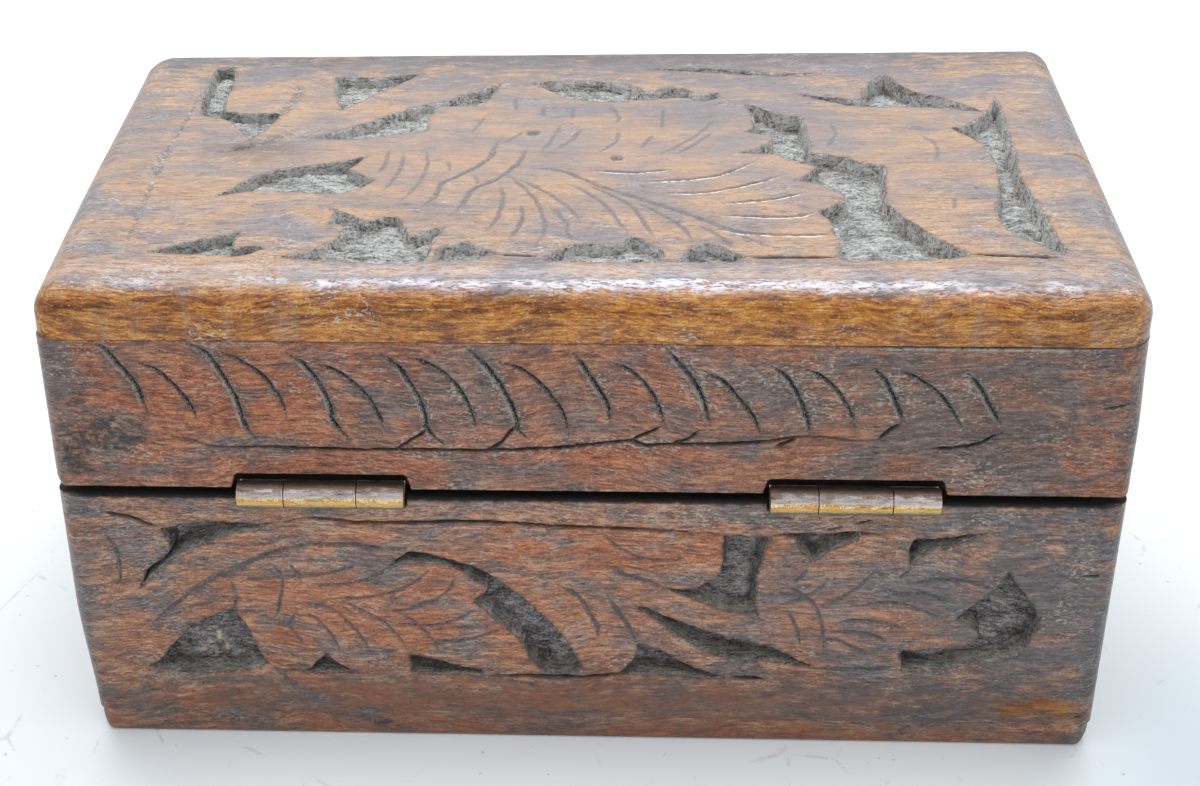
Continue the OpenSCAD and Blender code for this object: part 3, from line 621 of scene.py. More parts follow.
def rounded_edge_distance(u, v, span, r):
    """Distance of each point to the edge of a rectangle with round corners."""
    u0, u1, v0, v1 = span
    a = np.abs(u - (u0 + u1) / 2) - ((u1 - u0) / 2 - r)
    b = np.abs(v - (v0 + v1) / 2) - ((v1 - v0) / 2 - r)
    outside = np.hypot(np.maximum(a, 0), np.maximum(b, 0))
    return r - outside - np.minimum(np.maximum(a, b), 0)


def make_mesh(name, points, quads, cap, uvs):
    """A mesh object from points in millimetres, four-sided faces and one many-sided cap."""
    mesh = bpy.data.meshes.new(name)
    mesh.vertices.add(len(points))
    mesh.vertices.foreach_set("co", (points * MM).astype(np.float32).ravel())
    corners = np.concatenate([quads.ravel(), cap]).astype(np.int32)
    mesh.loops.add(len(corners))
    mesh.loops.foreach_set("vertex_index", corners)
    mesh.polygons.add(len(quads) + 1)
    starts = np.append(np.arange(len(quads)) * 4, len(quads) * 4).astype(np.int32)
    mesh.polygons.foreach_set("loop_start", starts)
    mesh.update(calc_edges=True)
    layer = mesh.uv_layers.new(name="OFBake")
    layer.data.foreach_set("uv", uvs.astype(np.float32).ravel())
    mesh.polygons.foreach_set("use_smooth", np.ones(len(quads) + 1, bool))
    mesh.set_sharp_from_angle(angle=math.radians(62))
    mesh.validate()
    piece = bpy.data.objects.new(name, mesh)
    bpy.context.scene.collection.objects.link(piece)
    return piece


def grid_quads(nu, nv):
    i = np.arange(nu * nv).reshape(nv, nu)
    return np.stack([i[:-1, :-1], i[:-1, 1:], i[1:, 1:], i[1:, :-1]], axis=-1).reshape(-1, 4)


def grid_border(nu, nv):
    i = np.arange(nu * nv).reshape(nv, nu)
    return np.concatenate([i[0, :-1], i[:-1, -1], i[-1, :0:-1], i[:0:-1, 0]])


# How far the painted shade in the gap reaches in from the rear, and how far it is full
RIM_SHADE_REACH = 6.0
RIM_SHADE_FULL = 1.5

# Shares of the texture square for a board's face, back and sides
FACE_PART = (0.0, 0.0, 1.0, 0.62)
BACK_PART = (0.0, 0.64, 1.0, 0.84)
SIDE_PART = (0.0, 0.86, 1.0, 1.0)


def in_part(part, s, t):
    u0, v0, u1, v1 = part
    return np.stack([u0 + (u1 - u0) * s, v0 + (v1 - v0) * t], axis=-1)


def paint(points, marks, noise):
    """Strength of each kind of mark at each point [u, v], with ragged edges."""
    u, v = points[:, 0], points[:, 1]
    found = {k: np.zeros(len(points)) for k in PAINT_MARKS}
    ragged = 0.45 * noise.layers(u / 5, v / 1.8, 5, 0.65)
    for name, spots in marks.items():
        soft = 0.3 if name in CRISP_MARKS else 0.85
        for cu, cv, ru, rv, strength in spots:
            reach = np.sqrt(((u - cu) / ru) ** 2 + ((v - cv) / rv) ** 2) + ragged
            found[name] = np.maximum(found[name], strength * (1 - smooth(1 - soft, 1 + 0.35 * soft, reach)))
    return found


def build_board(name, node, body, material, face, span, thick, relief, drop, shelves, marks=None,
                mark_face=None, corners=(0, 0, 0, 0), bend=None, undulate=0.1, seed=1, edge_cut=None,
                shaded_rim=None):
    """A board with a carved face: the face's grid, its four sides in rows and a flat back.

    drop gives the fall of the rounded edges, edge_cut a deeper cut at them, painted dark with shade, bend
    moves the points under the hinge leaves, and the last argument names the rim whose rear part gets painted
    shade.
    """
    us, vs = relief.us, relief.vs
    nu, nv = len(us), len(vs)
    u, v = relief.u, relief.v
    edge = np.minimum(np.minimum(u - us[0], us[-1] - u), np.minimum(v - vs[0], vs[-1] - v))
    calm = smooth(0.2, 3.0, edge)
    waves = undulate * relief.noise.layers(u / 34, v / 13 + 3, 3) * calm
    waves += 0.035 * relief.noise.layers(u / 4, v / 0.9 + 8, 2) * smooth(0, 1.0, edge)
    w = -drop(u, v) - relief.depth - np.abs(waves) * 0.9 - 0.02
    if edge_cut is not None:
        cut = edge_cut(u, v)
        w = np.minimum(w, -cut)
        # The notch is painted dark with the shade that falls in it
        relief.raise_to("painted_shade", np.s_[:, :], smooth(0.15, 1.0, cut))
    fu, fv = round_corners(u, v, span, corners)
    top = np.stack([fu, fv, w], axis=-1).reshape(-1, 3)
    border = grid_border(nu, nv)
    rows = [top]
    edge_points = top[border]
    for share in shelves:
        row = edge_points.copy()
        row[:, 2] = edge_points[:, 2] + (-thick - edge_points[:, 2]) * share
        rows.append(row)
    points = np.vstack(rows)
    count = len(border)
    first = np.concatenate([border] + [np.arange(count) + nu * nv + k * count for k in range(len(shelves))])
    first = first.reshape(-1, count)
    quads = [grid_quads(nu, nv)]
    uv = [in_part(FACE_PART, np.tile((us - us[0]) / np.ptp(us), nv), np.repeat((vs - vs[0]) / np.ptp(vs), nu))
          [quads[0].ravel()]]
    around = np.arange(count + 1) / count
    levels = [0.0] + list(shelves)
    for k in range(len(shelves)):
        a, b = first[k], first[k + 1]
        quads.append(np.stack([a, b, np.roll(b, -1), np.roll(a, -1)], axis=-1))
        s0, s1 = around[:-1], around[1:]
        t0, t1 = np.full(count, levels[k]), np.full(count, levels[k + 1])
        around_face = [(s0, t0), (s0, t1), (s1, t1), (s1, t0)]
        uv.append(np.stack([in_part(SIDE_PART, s, t) for s, t in around_face], axis=1).reshape(-1, 2))
    cap = first[-1][::-1]
    back = points[cap][:, :2]
    uv.append(in_part(BACK_PART, 1 - (back[:, 0] - us[0]) / np.ptp(us), (back[:, 1] - vs[0]) / np.ptp(vs)))
    placed = points.copy()
    if bend is not None:
        placed = bend(placed)
    world = face.world(placed[:, 0], placed[:, 1], placed[:, 2])
    world = settle(world, body)
    piece = make_mesh(name, world, np.vstack(quads), cap, np.clip(np.vstack(uv), 0, 1))
    unmarked = np.zeros(len(points) - nu * nv)
    layers = {k: np.concatenate([m.ravel(), unmarked]) for k, m in relief.marks.items()}
    # The named rim gets painted shade on its rear part, where the gap shows it
    if shaded_rim is not None:
        start = {"low": 0, "high": nu + nv - 2}[shaded_rim]
        on_rim = first[1:, start:start + nu]
        layers["painted_shade"][on_rim] = smooth(-RIM_SHADE_REACH, -RIM_SHADE_FULL, points[on_rim][..., 2])
    seen = points if mark_face is None else mark_face.local(world)
    layers.update(paint(seen, marks or {}, Noise(seed + 50)))
    for key, values in layers.items():
        layer = piece.data.attributes.new(key, "FLOAT", "POINT")
        layer.data.foreach_set("value", values.astype(np.float32))
    piece.data.materials.append(material)
    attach(piece, body)
    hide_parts(node)
    return piece


def rim_z(y):
    """Height of the lid's rim, which slopes down to the front."""
    return BASE_H + FRONT_GAP + (REAR_GAP - FRONT_GAP) * (y + BOX_D / 2) / BOX_D


# Wear of the base's lower end at the +X side
WORN_IN = 1.4
WORN_TOP = 27.0
WORN_FROM = 60.0


def settle(world, body):
    """Gives the lid's rails their sloping rim and the base its worn lower end."""
    world = world.copy()
    x, y, z = world.T
    if body == "lid":
        below = z < SEAM_Z + 0.001
        stretch = (SEAM_Z - rim_z(y)) / (SEAM_Z - LID_LOW)
        world[:, 2] = np.where(below, SEAM_Z - (SEAM_Z - z) * stretch, z)
    else:
        worn = WORN_IN * (1 - smooth(2, WORN_TOP, z))
        world[:, 0] = x - worn * np.clip((x - WORN_FROM) / (BOX_W / 2 - WORN_FROM), 0, 1) ** 2
    return world


def rgb(code):
    """Linear colour of a hex code."""
    parts = [int(code[i:i + 2], 16) / 255 for i in (1, 3, 5)]
    return [c / 12.92 if c <= 0.04045 else ((c + 0.055) / 1.055) ** 2.4 for c in parts] + [1.0]


class Shader:
    """Adds nodes to a new material and links them."""

    def __init__(self, name):
        self.material = bpy.data.materials.new(name)
        self.material.use_nodes = True
        self.tree = self.material.node_tree
        self.bsdf = self.tree.nodes["Principled BSDF"]
        where = self.node("ShaderNodeTexCoord").outputs
        self.place, self.facing = where["Object"], where["Normal"]

    def node(self, kind, values=None, **settings):
        made = self.tree.nodes.new(kind)
        for key, value in settings.items():
            setattr(made, key, value)
        for key, value in (values or {}).items():
            self.set(made.inputs[key], value)
        return made

    def set(self, socket, value):
        if isinstance(value, bpy.types.NodeSocket):
            self.tree.links.new(value, socket)
        else:
            socket.default_value = value

    def math(self, operation, a, b=0.0, c=0.0, clamp=False):
        made = self.node("ShaderNodeMath", {0: a, 1: b}, operation=operation, use_clamp=clamp)
        if operation == "MULTIPLY_ADD":
            self.set(made.inputs[2], c)
        return made.outputs[0]

    def vector(self, operation, a, b):
        return self.node("ShaderNodeVectorMath", {0: a, 1: b}, operation=operation).outputs[0]

    def split(self, vector):
        return self.node("ShaderNodeSeparateXYZ", {0: vector}).outputs

    def times(self, first, *others):
        for other in others:
            first = self.math("MULTIPLY", first, other)
        return first

    def largest(self, first, *others):
        for other in others:
            first = self.math("MAXIMUM", first, other)
        return first

    def total(self, *terms, add=0.0):
        """The sum of the terms, which are pairs of a value and its weight, and of add."""
        for value, weight in terms:
            add = self.math("MULTIPLY_ADD", value, weight, add)
        return add

    def spread(self, value, middle, factor):
        """Moves a value away from a middle by a factor."""
        return self.math("MULTIPLY_ADD", self.math("SUBTRACT", value, middle), factor, middle)

    def stretched(self, sizes, shift=0.0):
        """Object coordinates divided by sizes in millimetres."""
        scaled = self.vector("MULTIPLY", self.place, [1 / (MM * s) for s in sizes])
        return self.vector("ADD", scaled, [shift] * 3) if shift else scaled

    def noise(self, sizes, detail=3.0, rough=0.55, distortion=0.0, shift=0.0, output="Fac"):
        values = {"Vector": self.stretched(sizes, shift), "Scale": 1.0, "Detail": detail, "Roughness": rough,
                  "Distortion": distortion}
        return self.node("ShaderNodeTexNoise", values).outputs[output]

    def step(self, value, low, high):
        """0 below low, 1 above high and smooth between, or the other way round if low is above high."""
        ends = (1.0, 0.0) if low > high else (0.0, 1.0)
        values = {"Value": value, "From Min": min(low, high), "From Max": max(low, high), "To Min": ends[0],
                  "To Max": ends[1]}
        return self.node("ShaderNodeMapRange", values, interpolation_type="SMOOTHSTEP").outputs["Result"]

    def ramp(self, value, stops):
        made = self.node("ShaderNodeValToRGB", {0: value})
        ramp = made.color_ramp
        while len(ramp.elements) < len(stops):
            ramp.elements.new(0.5)
        for element, (place, code) in zip(ramp.elements, stops):
            element.position = place
            element.color = rgb(code)
        return made.outputs["Color"]

    def shades(self, value, codes, reach):
        """Three colours from dark to light, for a value that varies by reach about a half."""
        return self.ramp(value, [(0.5 + reach * side, code) for side, code in zip((-1, 0, 1), codes)])

    def mix(self, share, a, b, blend="MIX"):
        made = self.node("ShaderNodeMix", data_type="RGBA", blend_type=blend, clamp_factor=True)
        self.set(made.inputs[0], share)
        self.set(made.inputs[6], a)
        self.set(made.inputs[7], b)
        return made.outputs[2]

    def over(self, colour, upper, *shares, blend="MIX"):
        """A colour with another laid over it, as strongly as the product of the shares."""
        return self.mix(self.times(*shares), colour, rgb(upper) if isinstance(upper, str) else upper, blend)

    def mark(self, name):
        return self.node("ShaderNodeAttribute", attribute_name=name).outputs["Fac"]

    def bump(self, height, distance, strength=1.0, normal=None):
        values = {"Height": height, "Distance": distance * MM, "Strength": strength}
        if normal is not None:
            values["Normal"] = normal
        return self.node("ShaderNodeBump", values).outputs["Normal"]


# How far the grain wanders, in millimetres
GRAIN_DRIFT = 10.0

# Colours of the marks on the wood
VEIN = "#2a1c1a"
PORE = "#231a1c"
CRUMBS = "#2c2a2c"
STAIN = ((0.4, "#1b1715"), (0.65, "#453e37"))
BARE_WOOD = "#d0bda6"
# A painted sheen
SHEEN = "#e2dde7"
FRESH_CHIP = "#d8c39a"
DARK_RIM = "#2b1a13"
# Near-black painted shade
PAINTED_SHADE_BLACK = "#0a0909"
SHADE = "#cac8c7"

# Middle of the hue, about which calm places keep closer
HUE_MIDDLE = 0.47


def wood(name, grain, palette, shift=0.0, gloss=0.36, contrast=1.0):
    """Old waxed wood in patches of warm and cool hue. grain is the axis that the fibres follow."""
    s = Shader(name)
    drift = s.vector("SUBTRACT", s.noise([40] * 3, 2.0, 0.5, 0.0, shift, "Color"), [0.5] * 3)
    s.place = s.vector("ADD", s.place, s.vector("MULTIPLY", drift, [GRAIN_DRIFT * MM] * 3))

    def sizes(along, across):
        return [along if axis == grain else across for axis in "XYZ"]

    # Figure of the wood, from the broadest to the finest
    patch = s.noise(sizes(*palette["patches"]), 3, 0.5, 0.4, shift + 9)
    band = s.noise(sizes(9, 1.5), 4, 0.6, 0.5, shift + 3)
    dash = s.noise(sizes(2.0, 0.45), 3, 0.65, 0.3, shift + 5)
    fibre = s.noise(sizes(5, 0.26), 2, 0.6, 0.0, shift + 7)
    fine = s.noise([0.9] * 3, 4, 0.7, 0.0, shift + 21)
    grit = s.noise([0.34] * 3, 2, 0.6, 0.0, shift + 11)
    crisp = s.total((s.mark("soft"), -0.65 * contrast), add=contrast)
    tone = s.spread(s.total((band, 0.22), (fibre, 0.22), (dash, 0.36), (grit, 0.20)), 0.5, crisp)

    def toned(codes):
        return s.shades(tone, codes, 0.09)

    calm = s.total((s.mark("soft"), -0.5), add=1.0)
    hue = s.spread(s.total((dash, 0.14), (band, 0.24), (patch, 0.62)), HUE_MIDDLE, calm)
    # Grey marks cool the hue and lay a haze over the colour: greyer wood in places, and a painted sheen at
    # the rounded ends and along the near edge
    hue = s.total((s.mark("grey_and_sheen"), -0.11), (s.mark("red"), 0.05), add=hue)
    colour = s.mix(s.step(hue, *palette["turn"]), toned(palette["cool"]), toned(palette["warm"]))
    colour = s.over(colour, toned(RUST), s.mark("red"), s.step(hue, 0.44, 0.58))
    colour = s.over(colour, palette["haze"], s.mark("grey_and_sheen"), 0.42)
    golden = s.mix(s.step(band, 0.37, 0.52), toned(DARK_GOLD), toned(GOLD))
    colour = s.over(colour, golden, s.mark("gold"))

    # Dark veins and pores, pale flecks, what wear and dirt leave on the surface, and a painted sheen
    vein = s.step(s.noise(sizes(14, 0.5), 4, 0.65, 0.8, shift + 13), 0.61, 0.68)
    colour = s.over(colour, VEIN, vein, crisp, 0.4)
    pores = s.step(s.noise(sizes(1.7, 0.3), 3, 0.6, 0.0, shift + 15), 0.60, 0.68)
    colour = s.over(colour, PORE, pores, crisp, 0.6)
    near_cuts = s.mark("halo")
    gate = s.noise(sizes(10, 5), 3, 0.6, 0.0, shift + 17)
    gate = s.total((s.mark("dust"), 0.10), (near_cuts, 0.16), add=gate)
    flecks = s.noise(sizes(0.8, 0.36), 3, 0.65, 0.0, shift + 19)
    flecks = s.step(s.total((gate, 0.5), add=flecks), 0.86, 0.95)
    colour = s.over(colour, palette["flecks"], flecks, crisp, 0.7)
    crumbs = s.step(s.total((near_cuts, 0.08), add=grit), 0.56, 0.66)
    colour = s.over(colour, CRUMBS, near_cuts, crumbs, 0.7)
    colour = s.over(colour, s.ramp(dash, STAIN), s.mark("stain"), s.step(fine, 0.3, 0.6))
    colour = s.over(colour, BARE_WOOD, s.mark("worn"), s.step(fine, 0.42, 0.58))
    # A painted sheen of pale flecks, along the highlight on the near edge
    shine = s.step(s.noise(sizes(1.6, 0.5), 4, 0.7, 0.3, shift + 27), 0.41, 0.54)
    colour = s.over(colour, SHEEN, s.mark("sheen"), shine, 0.95)

    # Soil on the sunk ground and its walls, and dust and grime in the cuts
    earth = s.noise(sizes(2.4, 0.45), 5, 0.72, 0.4, shift + 23)
    clods = s.noise(sizes(4.5, 2.4), 5, 0.65, 0.3, shift + 25)
    soil = s.total((grit, 0.25), (earth, 0.45), (clods, 0.3))

    def soiled(codes):
        return s.shades(soil, codes, 0.08)

    ground = s.mix(s.mark("chip"), soiled(palette["ground"]), rgb(FRESH_CHIP))
    in_ground, in_wall, in_painted_shade = s.mark("ground"), s.mark("wall"), s.mark("painted_shade")
    in_groove = s.times(s.mark("groove"), s.step(fine, 0.25, 0.48))
    in_dust = s.times(s.mark("dusty"), s.step(fine, 0.3, 0.56))
    colour = s.over(colour, DARK_RIM, s.mark("rim"), s.step(fine, 0.40, 0.6), 0.7)
    colour = s.over(colour, ground, in_dust)
    grains = s.spread(grit, 0.5, palette["speckle"])
    colour = s.over(colour, s.shades(grains, palette["dirt"], 0.10), in_groove)
    buried = s.mix(in_wall, ground, soiled(palette["wall"]))
    # Walls that face up take the paler ledge colour: partly dust, partly painted light from above
    facing_up = s.step(s.split(s.facing)["Z"], 0.2, 0.7)
    buried = s.over(buried, soiled(palette["ledge"]), facing_up, palette["ledge_dust_and_light"])
    colour = s.over(colour, buried, s.largest(in_ground, in_wall))
    # Near-black painted shade in the gap, the hinge notches, the cuts and on gloomy walls
    colour = s.over(colour, PAINTED_SHADE_BLACK, in_painted_shade, 0.95)
    # Pale lines: painted highlights beside the cuts, on the rail partly pale dust, and the pale glue under
    # the top board
    colour = s.over(colour, palette["glint"], s.mark("glint"), s.step(fine, 0.38, 0.54))
    colour = s.over(colour, SHADE, s.mark("shade"), blend="MULTIPLY")

    matt = s.largest(in_ground, in_wall, in_dust, in_painted_shade)
    rough = s.total((dash, 0.5), (patch, 0.3), (s.mark("polish"), -0.14), add=gloss - 0.4)
    rough = s.math("MULTIPLY_ADD", s.largest(matt, s.times(in_groove, 0.5)), 0.5, rough, clamp=True)
    s.set(s.bsdf.inputs["Base Color"], colour)
    s.set(s.bsdf.inputs["Roughness"], rough)
    relief = s.total((band, 0.5), (fibre, 0.35), (dash, 0.8), (grit, 0.35), (pores, -0.35))
    relief = s.times(relief, s.total((s.mark("polish"), -0.6), add=crisp))
    clumps = s.times(s.total((fine, 1.0), (earth, 1.3)), matt)
    s.set(s.bsdf.inputs["Normal"], s.bump(clumps, 0.4, 0.8, s.bump(relief, 0.22, 0.8)))
    return s.material


# Colours of the brass from the barrel's foot to its top, painting the reflections of the floor and sky and a
# highlight band over dull tarnish, and how it darkens with the scratches
BRASS_AND_PAINTED_LIGHT = ((0.08, "#86847a"), (0.26, "#b3ab90"), (0.40, "#e2bd6c"), (0.51, "#cf8f3e"), (0.62, "#f3dcb4"),
         (0.76, "#e9dfe2"), (0.92, "#8d7a6e"))
BRASS_TONES = ("#a39c92", "#eceae6", "#ffffff")
TARNISH = "#7a5230"
VERDIGRIS = "#7d8c5c"
BRASS_CLOUD, BRASS_GRIT = 0.55, 0.5


def brass(name, scratched=True, shift=0.0):
    """Aged brass, dull at the barrel's top and foot, with painted reflections and a painted highlight
    between. Scratches run along X.
    """
    s = Shader(name)
    streak = s.noise([3.0, 0.16, 0.16] if scratched else [1.2] * 3, 4, 0.65, 0.3, shift)
    cloud = s.noise([2.2, 0.8, 0.8], 5, 0.65, 0.0, shift + 4)
    grit = s.noise([0.2] * 3, 3, 0.7, 0.0, shift + 8)
    height = s.split(s.place)["Z"]
    foot = (AXIS_Z - BARREL_R) / (2 * BARREL_R)
    around = s.total((height, 1 / (2 * BARREL_R * MM)), (cloud, BRASS_CLOUD), (grit, BRASS_GRIT),
                     add=-foot - 0.5 * (BRASS_CLOUD + BRASS_GRIT))
    tone = s.total((grit, 0.5), (streak, 0.5))
    colour = s.over(s.ramp(around, BRASS_AND_PAINTED_LIGHT), s.shades(tone, BRASS_TONES, 0.10), 0.75, blend="MULTIPLY")
    tarnish = s.step(s.noise([3, 0.6, 0.6], 5, 0.65, 0.3, shift + 12), 0.56, 0.66)
    colour = s.over(colour, TARNISH, tarnish, 0.4)
    green = s.step(s.noise([0.8, 0.5, 0.5], 2, 0.5, 0.0, shift + 16), 0.68, 0.74)
    colour = s.over(colour, VERDIGRIS, green, 0.6)
    rough = s.math("MULTIPLY_ADD", tarnish, 0.3, s.total((grit, 0.3), add=0.24), clamp=True)
    s.bsdf.inputs["Metallic"].default_value = 0.85
    s.set(s.bsdf.inputs["Base Color"], colour)
    s.set(s.bsdf.inputs["Roughness"], rough)
    s.set(s.bsdf.inputs["Normal"], s.bump(s.total((grit, 0.5), (streak, 1.0)), 0.05, 0.6))
    return s.material


# Colours of the steel, the last of them rust
STEEL = ((0.4, "#1d1a18"), (0.55, "#3d3835"), (0.66, "#5b3a26"))


def steel(name):
    """Dull darkened steel with rust in places."""
    s = Shader(name)
    cloud = s.noise([1.2] * 3, 5, 0.65)
    grit = s.noise([0.2] * 3, 3, 0.6)
    s.bsdf.inputs["Metallic"].default_value = 0.8
    s.set(s.bsdf.inputs["Base Color"], s.ramp(cloud, STEEL))
    s.set(s.bsdf.inputs["Roughness"], s.total((grit, 0.4), add=0.35))
    s.set(s.bsdf.inputs["Normal"], s.bump(grit, 0.06, 0.6))
    return s.material


# Colours of the wood from dark to light. Patches are along and across the grain, in millimetres.
RUST = ("#5a2715", "#9d5430", "#c88252")
GOLD = ("#6b3510", "#b26b20", "#dba450")
DARK_GOLD = ("#4a2210", "#93551f", "#c48a45")
TOP_PALETTE = {
    "patches": (14, 8),
    "turn": (0.385, 0.57),
    "warm": ("#836049", "#ac8768", "#c5a485"),
    "cool": ("#605657", "#7a6f71", "#978d8e"),
    "haze": "#6c6162",
    "flecks": "#cfc6bd",
    "glint": "#eceaf0",
    "ground": ("#6c6b69", "#afaeab", "#dbdad6"),
    "wall": ("#5f5b58", "#bcb9b6", "#dedbd8"),
    "ledge": ("#6c6b69", "#afaeab", "#dbdad6"),
    "ledge_dust_and_light": 0.0,
    "dirt": ("#4a4b4e", "#64656a", "#808287"),
    "speckle": 0.35,
}
RAIL_PALETTE = {
    "patches": (9, 5),
    "turn": (0.37, 0.58),
    "warm": ("#5c3425", "#965a3f", "#be8a64"),
    "cool": ("#40332f", "#6b5750", "#91817a"),
    "haze": "#62544f",
    "flecks": "#b8ab9c",
    "glint": "#a59e92",
    "ground": ("#34302f", "#7b7574", "#b3adab"),
    "wall": ("#2a2626", "#5f5958", "#948c89"),
    "ledge": ("#5f5a55", "#9a948c", "#c5bfb4"),
    "ledge_dust_and_light": 0.8,
    "dirt": ("#19191b", "#3f3f41", "#96938e"),
    "speckle": 1.0,
}
BASE_PALETTE = dict(
    RAIL_PALETTE,
    warm=("#694230", "#9f6b4f", "#c79d7a"),
    cool=("#413838", "#6c5f5c", "#948a86"),
    haze="#615a5b",
    dirt=("#3a3b3e", "#525357", "#74767a"),
    speckle=0.45,
)

top_wood = wood("top_wood", "X", TOP_PALETTE, shift=2.0, gloss=0.40, contrast=0.9)
rail_wood = wood("rail_wood", "X", RAIL_PALETTE, shift=31.0)
base_wood = wood("base_wood", "X", BASE_PALETTE, shift=57.0)
side_rail_wood = wood("side_rail_wood", "Y", RAIL_PALETTE, shift=83.0)
side_base_wood = wood("side_base_wood", "Y", BASE_PALETTE, shift=97.0)
hinge_brass = brass("hinge_brass")
screw_brass = brass("screw_brass", False, 20.0)
nail_steel = steel("nail_steel")


def from_nearer_hinge(u):
    """Distance across from the nearer hinge's middle."""
    return np.abs(np.abs(u) - HINGE_X)


def rail_hinge_cut(u, v):
    """Depth of the notches that the barrels turn in, in the lid's rear rail."""
    rise = AXIS_Z + NOTCH_RISE - v
    half = HINGE_LEN / 2 + SWING_CLEAR + NOTCH_SLANT * np.clip(rise / (AXIS_Z + NOTCH_RISE - LID_LOW), 0, 1)
    inside = smooth(-0.12, 0.12, half - from_nearer_hinge(u)) * smooth(-0.12, 0.12, rise)
    return (BARREL_R - (AXIS_Y - BOX_D / 2) + SWING_CLEAR) * inside


def base_hinge_cut(u, v):
    """Depth of the round seats for the barrels, in the base's rear wall."""
    radius = BARREL_R + SWING_CLEAR
    half = HINGE_LEN / 2 + SWING_CLEAR
    chord = np.sqrt(np.clip(radius ** 2 - (v - AXIS_Z) ** 2, 0, None))
    depth = np.clip(chord - (AXIS_Y - BOX_D / 2), 0, None)
    return depth * smooth(-0.12, 0.12, half - from_nearer_hinge(u))


def leaf_mortise(rim_v, inward):
    """Sinks the rim under the hinge leaves. inward is -1 for the base's rim and 1 for the lid's."""
    half = HINGE_LEN / 2 + LEAF_CLEAR
    reach = AXIS_Y - BOX_D / 2 - LEAF_W - LEAF_CLEAR
    soft_rows = 4.0

    def bend(points):
        u, v, w = points.T
        near = smooth(-0.06, 0.06, half - from_nearer_hinge(u)) * (w > reach)
        share = np.clip(1 - np.abs(v - rim_v) / soft_rows, 0, 1)
        points[:, 1] = v + inward * LEAF_SUNK * near * share
        return points

    return bend


# Rows down a board's sides, as shares of its thickness. Two close rows are the end of the leaf mortise.
PLAIN_ROWS = [0.1, 0.3, 0.55, 0.8, 1.0]
HINGE_ROWS = [0.04, 0.1, 0.18, 0.28, 0.4, 0.52, 0.64, 0.74, 0.811, 0.822, 0.9, 1.0]


def wall_drop(span, r_end, r_low, r_high, shoulder=0.0):
    """Rounded edges of a wall. The shoulder makes the upper part of its right end rounder."""
    u0, u1, v0, v1 = span

    def drop(u, v):
        r_right = r_end + shoulder * smooth(v1 - 16, v1, v)
        ends = np.maximum(edge_drop(u - u0, r_end), edge_drop(u1 - u, r_right))
        return np.maximum(ends, np.maximum(edge_drop(v - v0, r_low), edge_drop(v1 - v, r_high)))

    return drop


def wall_relief(span, step, r_end, r_low, r_high, seed):
    u0, u1, v0, v1 = span
    return Relief(spread(u0, u1, step, r_end, r_end), spread(v0, v1, step, r_low, r_high), seed)


def mirrored(p):
    return (-p[0], p[1])


def shifted(du, dv):
    return lambda p: (p[0] + du, p[1] + dv)


def build_top():
    span = (-BOX_W / 2, BOX_W / 2, -BOX_D / 2, BOX_D / 2)
    relief = wall_relief(span, FINE_STEP, TOP_EDGE_R, TOP_EDGE_R, TOP_EDGE_R, 11)
    for ring in cut_rings("lid_top_board", TOP):
        deep = smooth(*TOP_DEEP_FROM, ring[:, 0].mean())
        gloom = LEFT_GLOOM * (1 - smooth(*TOP_LIGHT_FROM, ring[:, 0].mean()))
        relief.pocket(ring, TOP_SUNK * (TOP_SHALLOW + (1 - TOP_SHALLOW) * deep), gloom)
    relief.strokes(TOP_STROKES)
    relief.strokes(GLOSSY_GLINTS, shifted(*GLINT_BELOW_GLOSSY))

    def drop(u, v):
        fu, fv = round_corners(u, v, span, TOP_CORNERS_R)
        corner_r = np.choose((u >= 0) + 2 * (v >= 0), TOP_CORNERS_R)
        sag = TOP_WARP * smooth(-20, BOX_D / 2, v) * (0.5 - u / BOX_W)
        return sag + edge_drop(np.maximum(rounded_edge_distance(fu, fv, span, corner_r), 0), TOP_EDGE_R)

    return build_board("top_board_carved", "lid_top_board", "lid", top_wood, TOP, span,
                       BOX_H - SEAM_Z, relief, drop, PLAIN_ROWS, TOP_MARKS, corners=TOP_CORNERS_R, seed=12)


def gap_line(v):
    """A line along a rim at the rear, for the painted shade that shows in the gap."""
    return [(-79, v), (0, v), (79, v)]


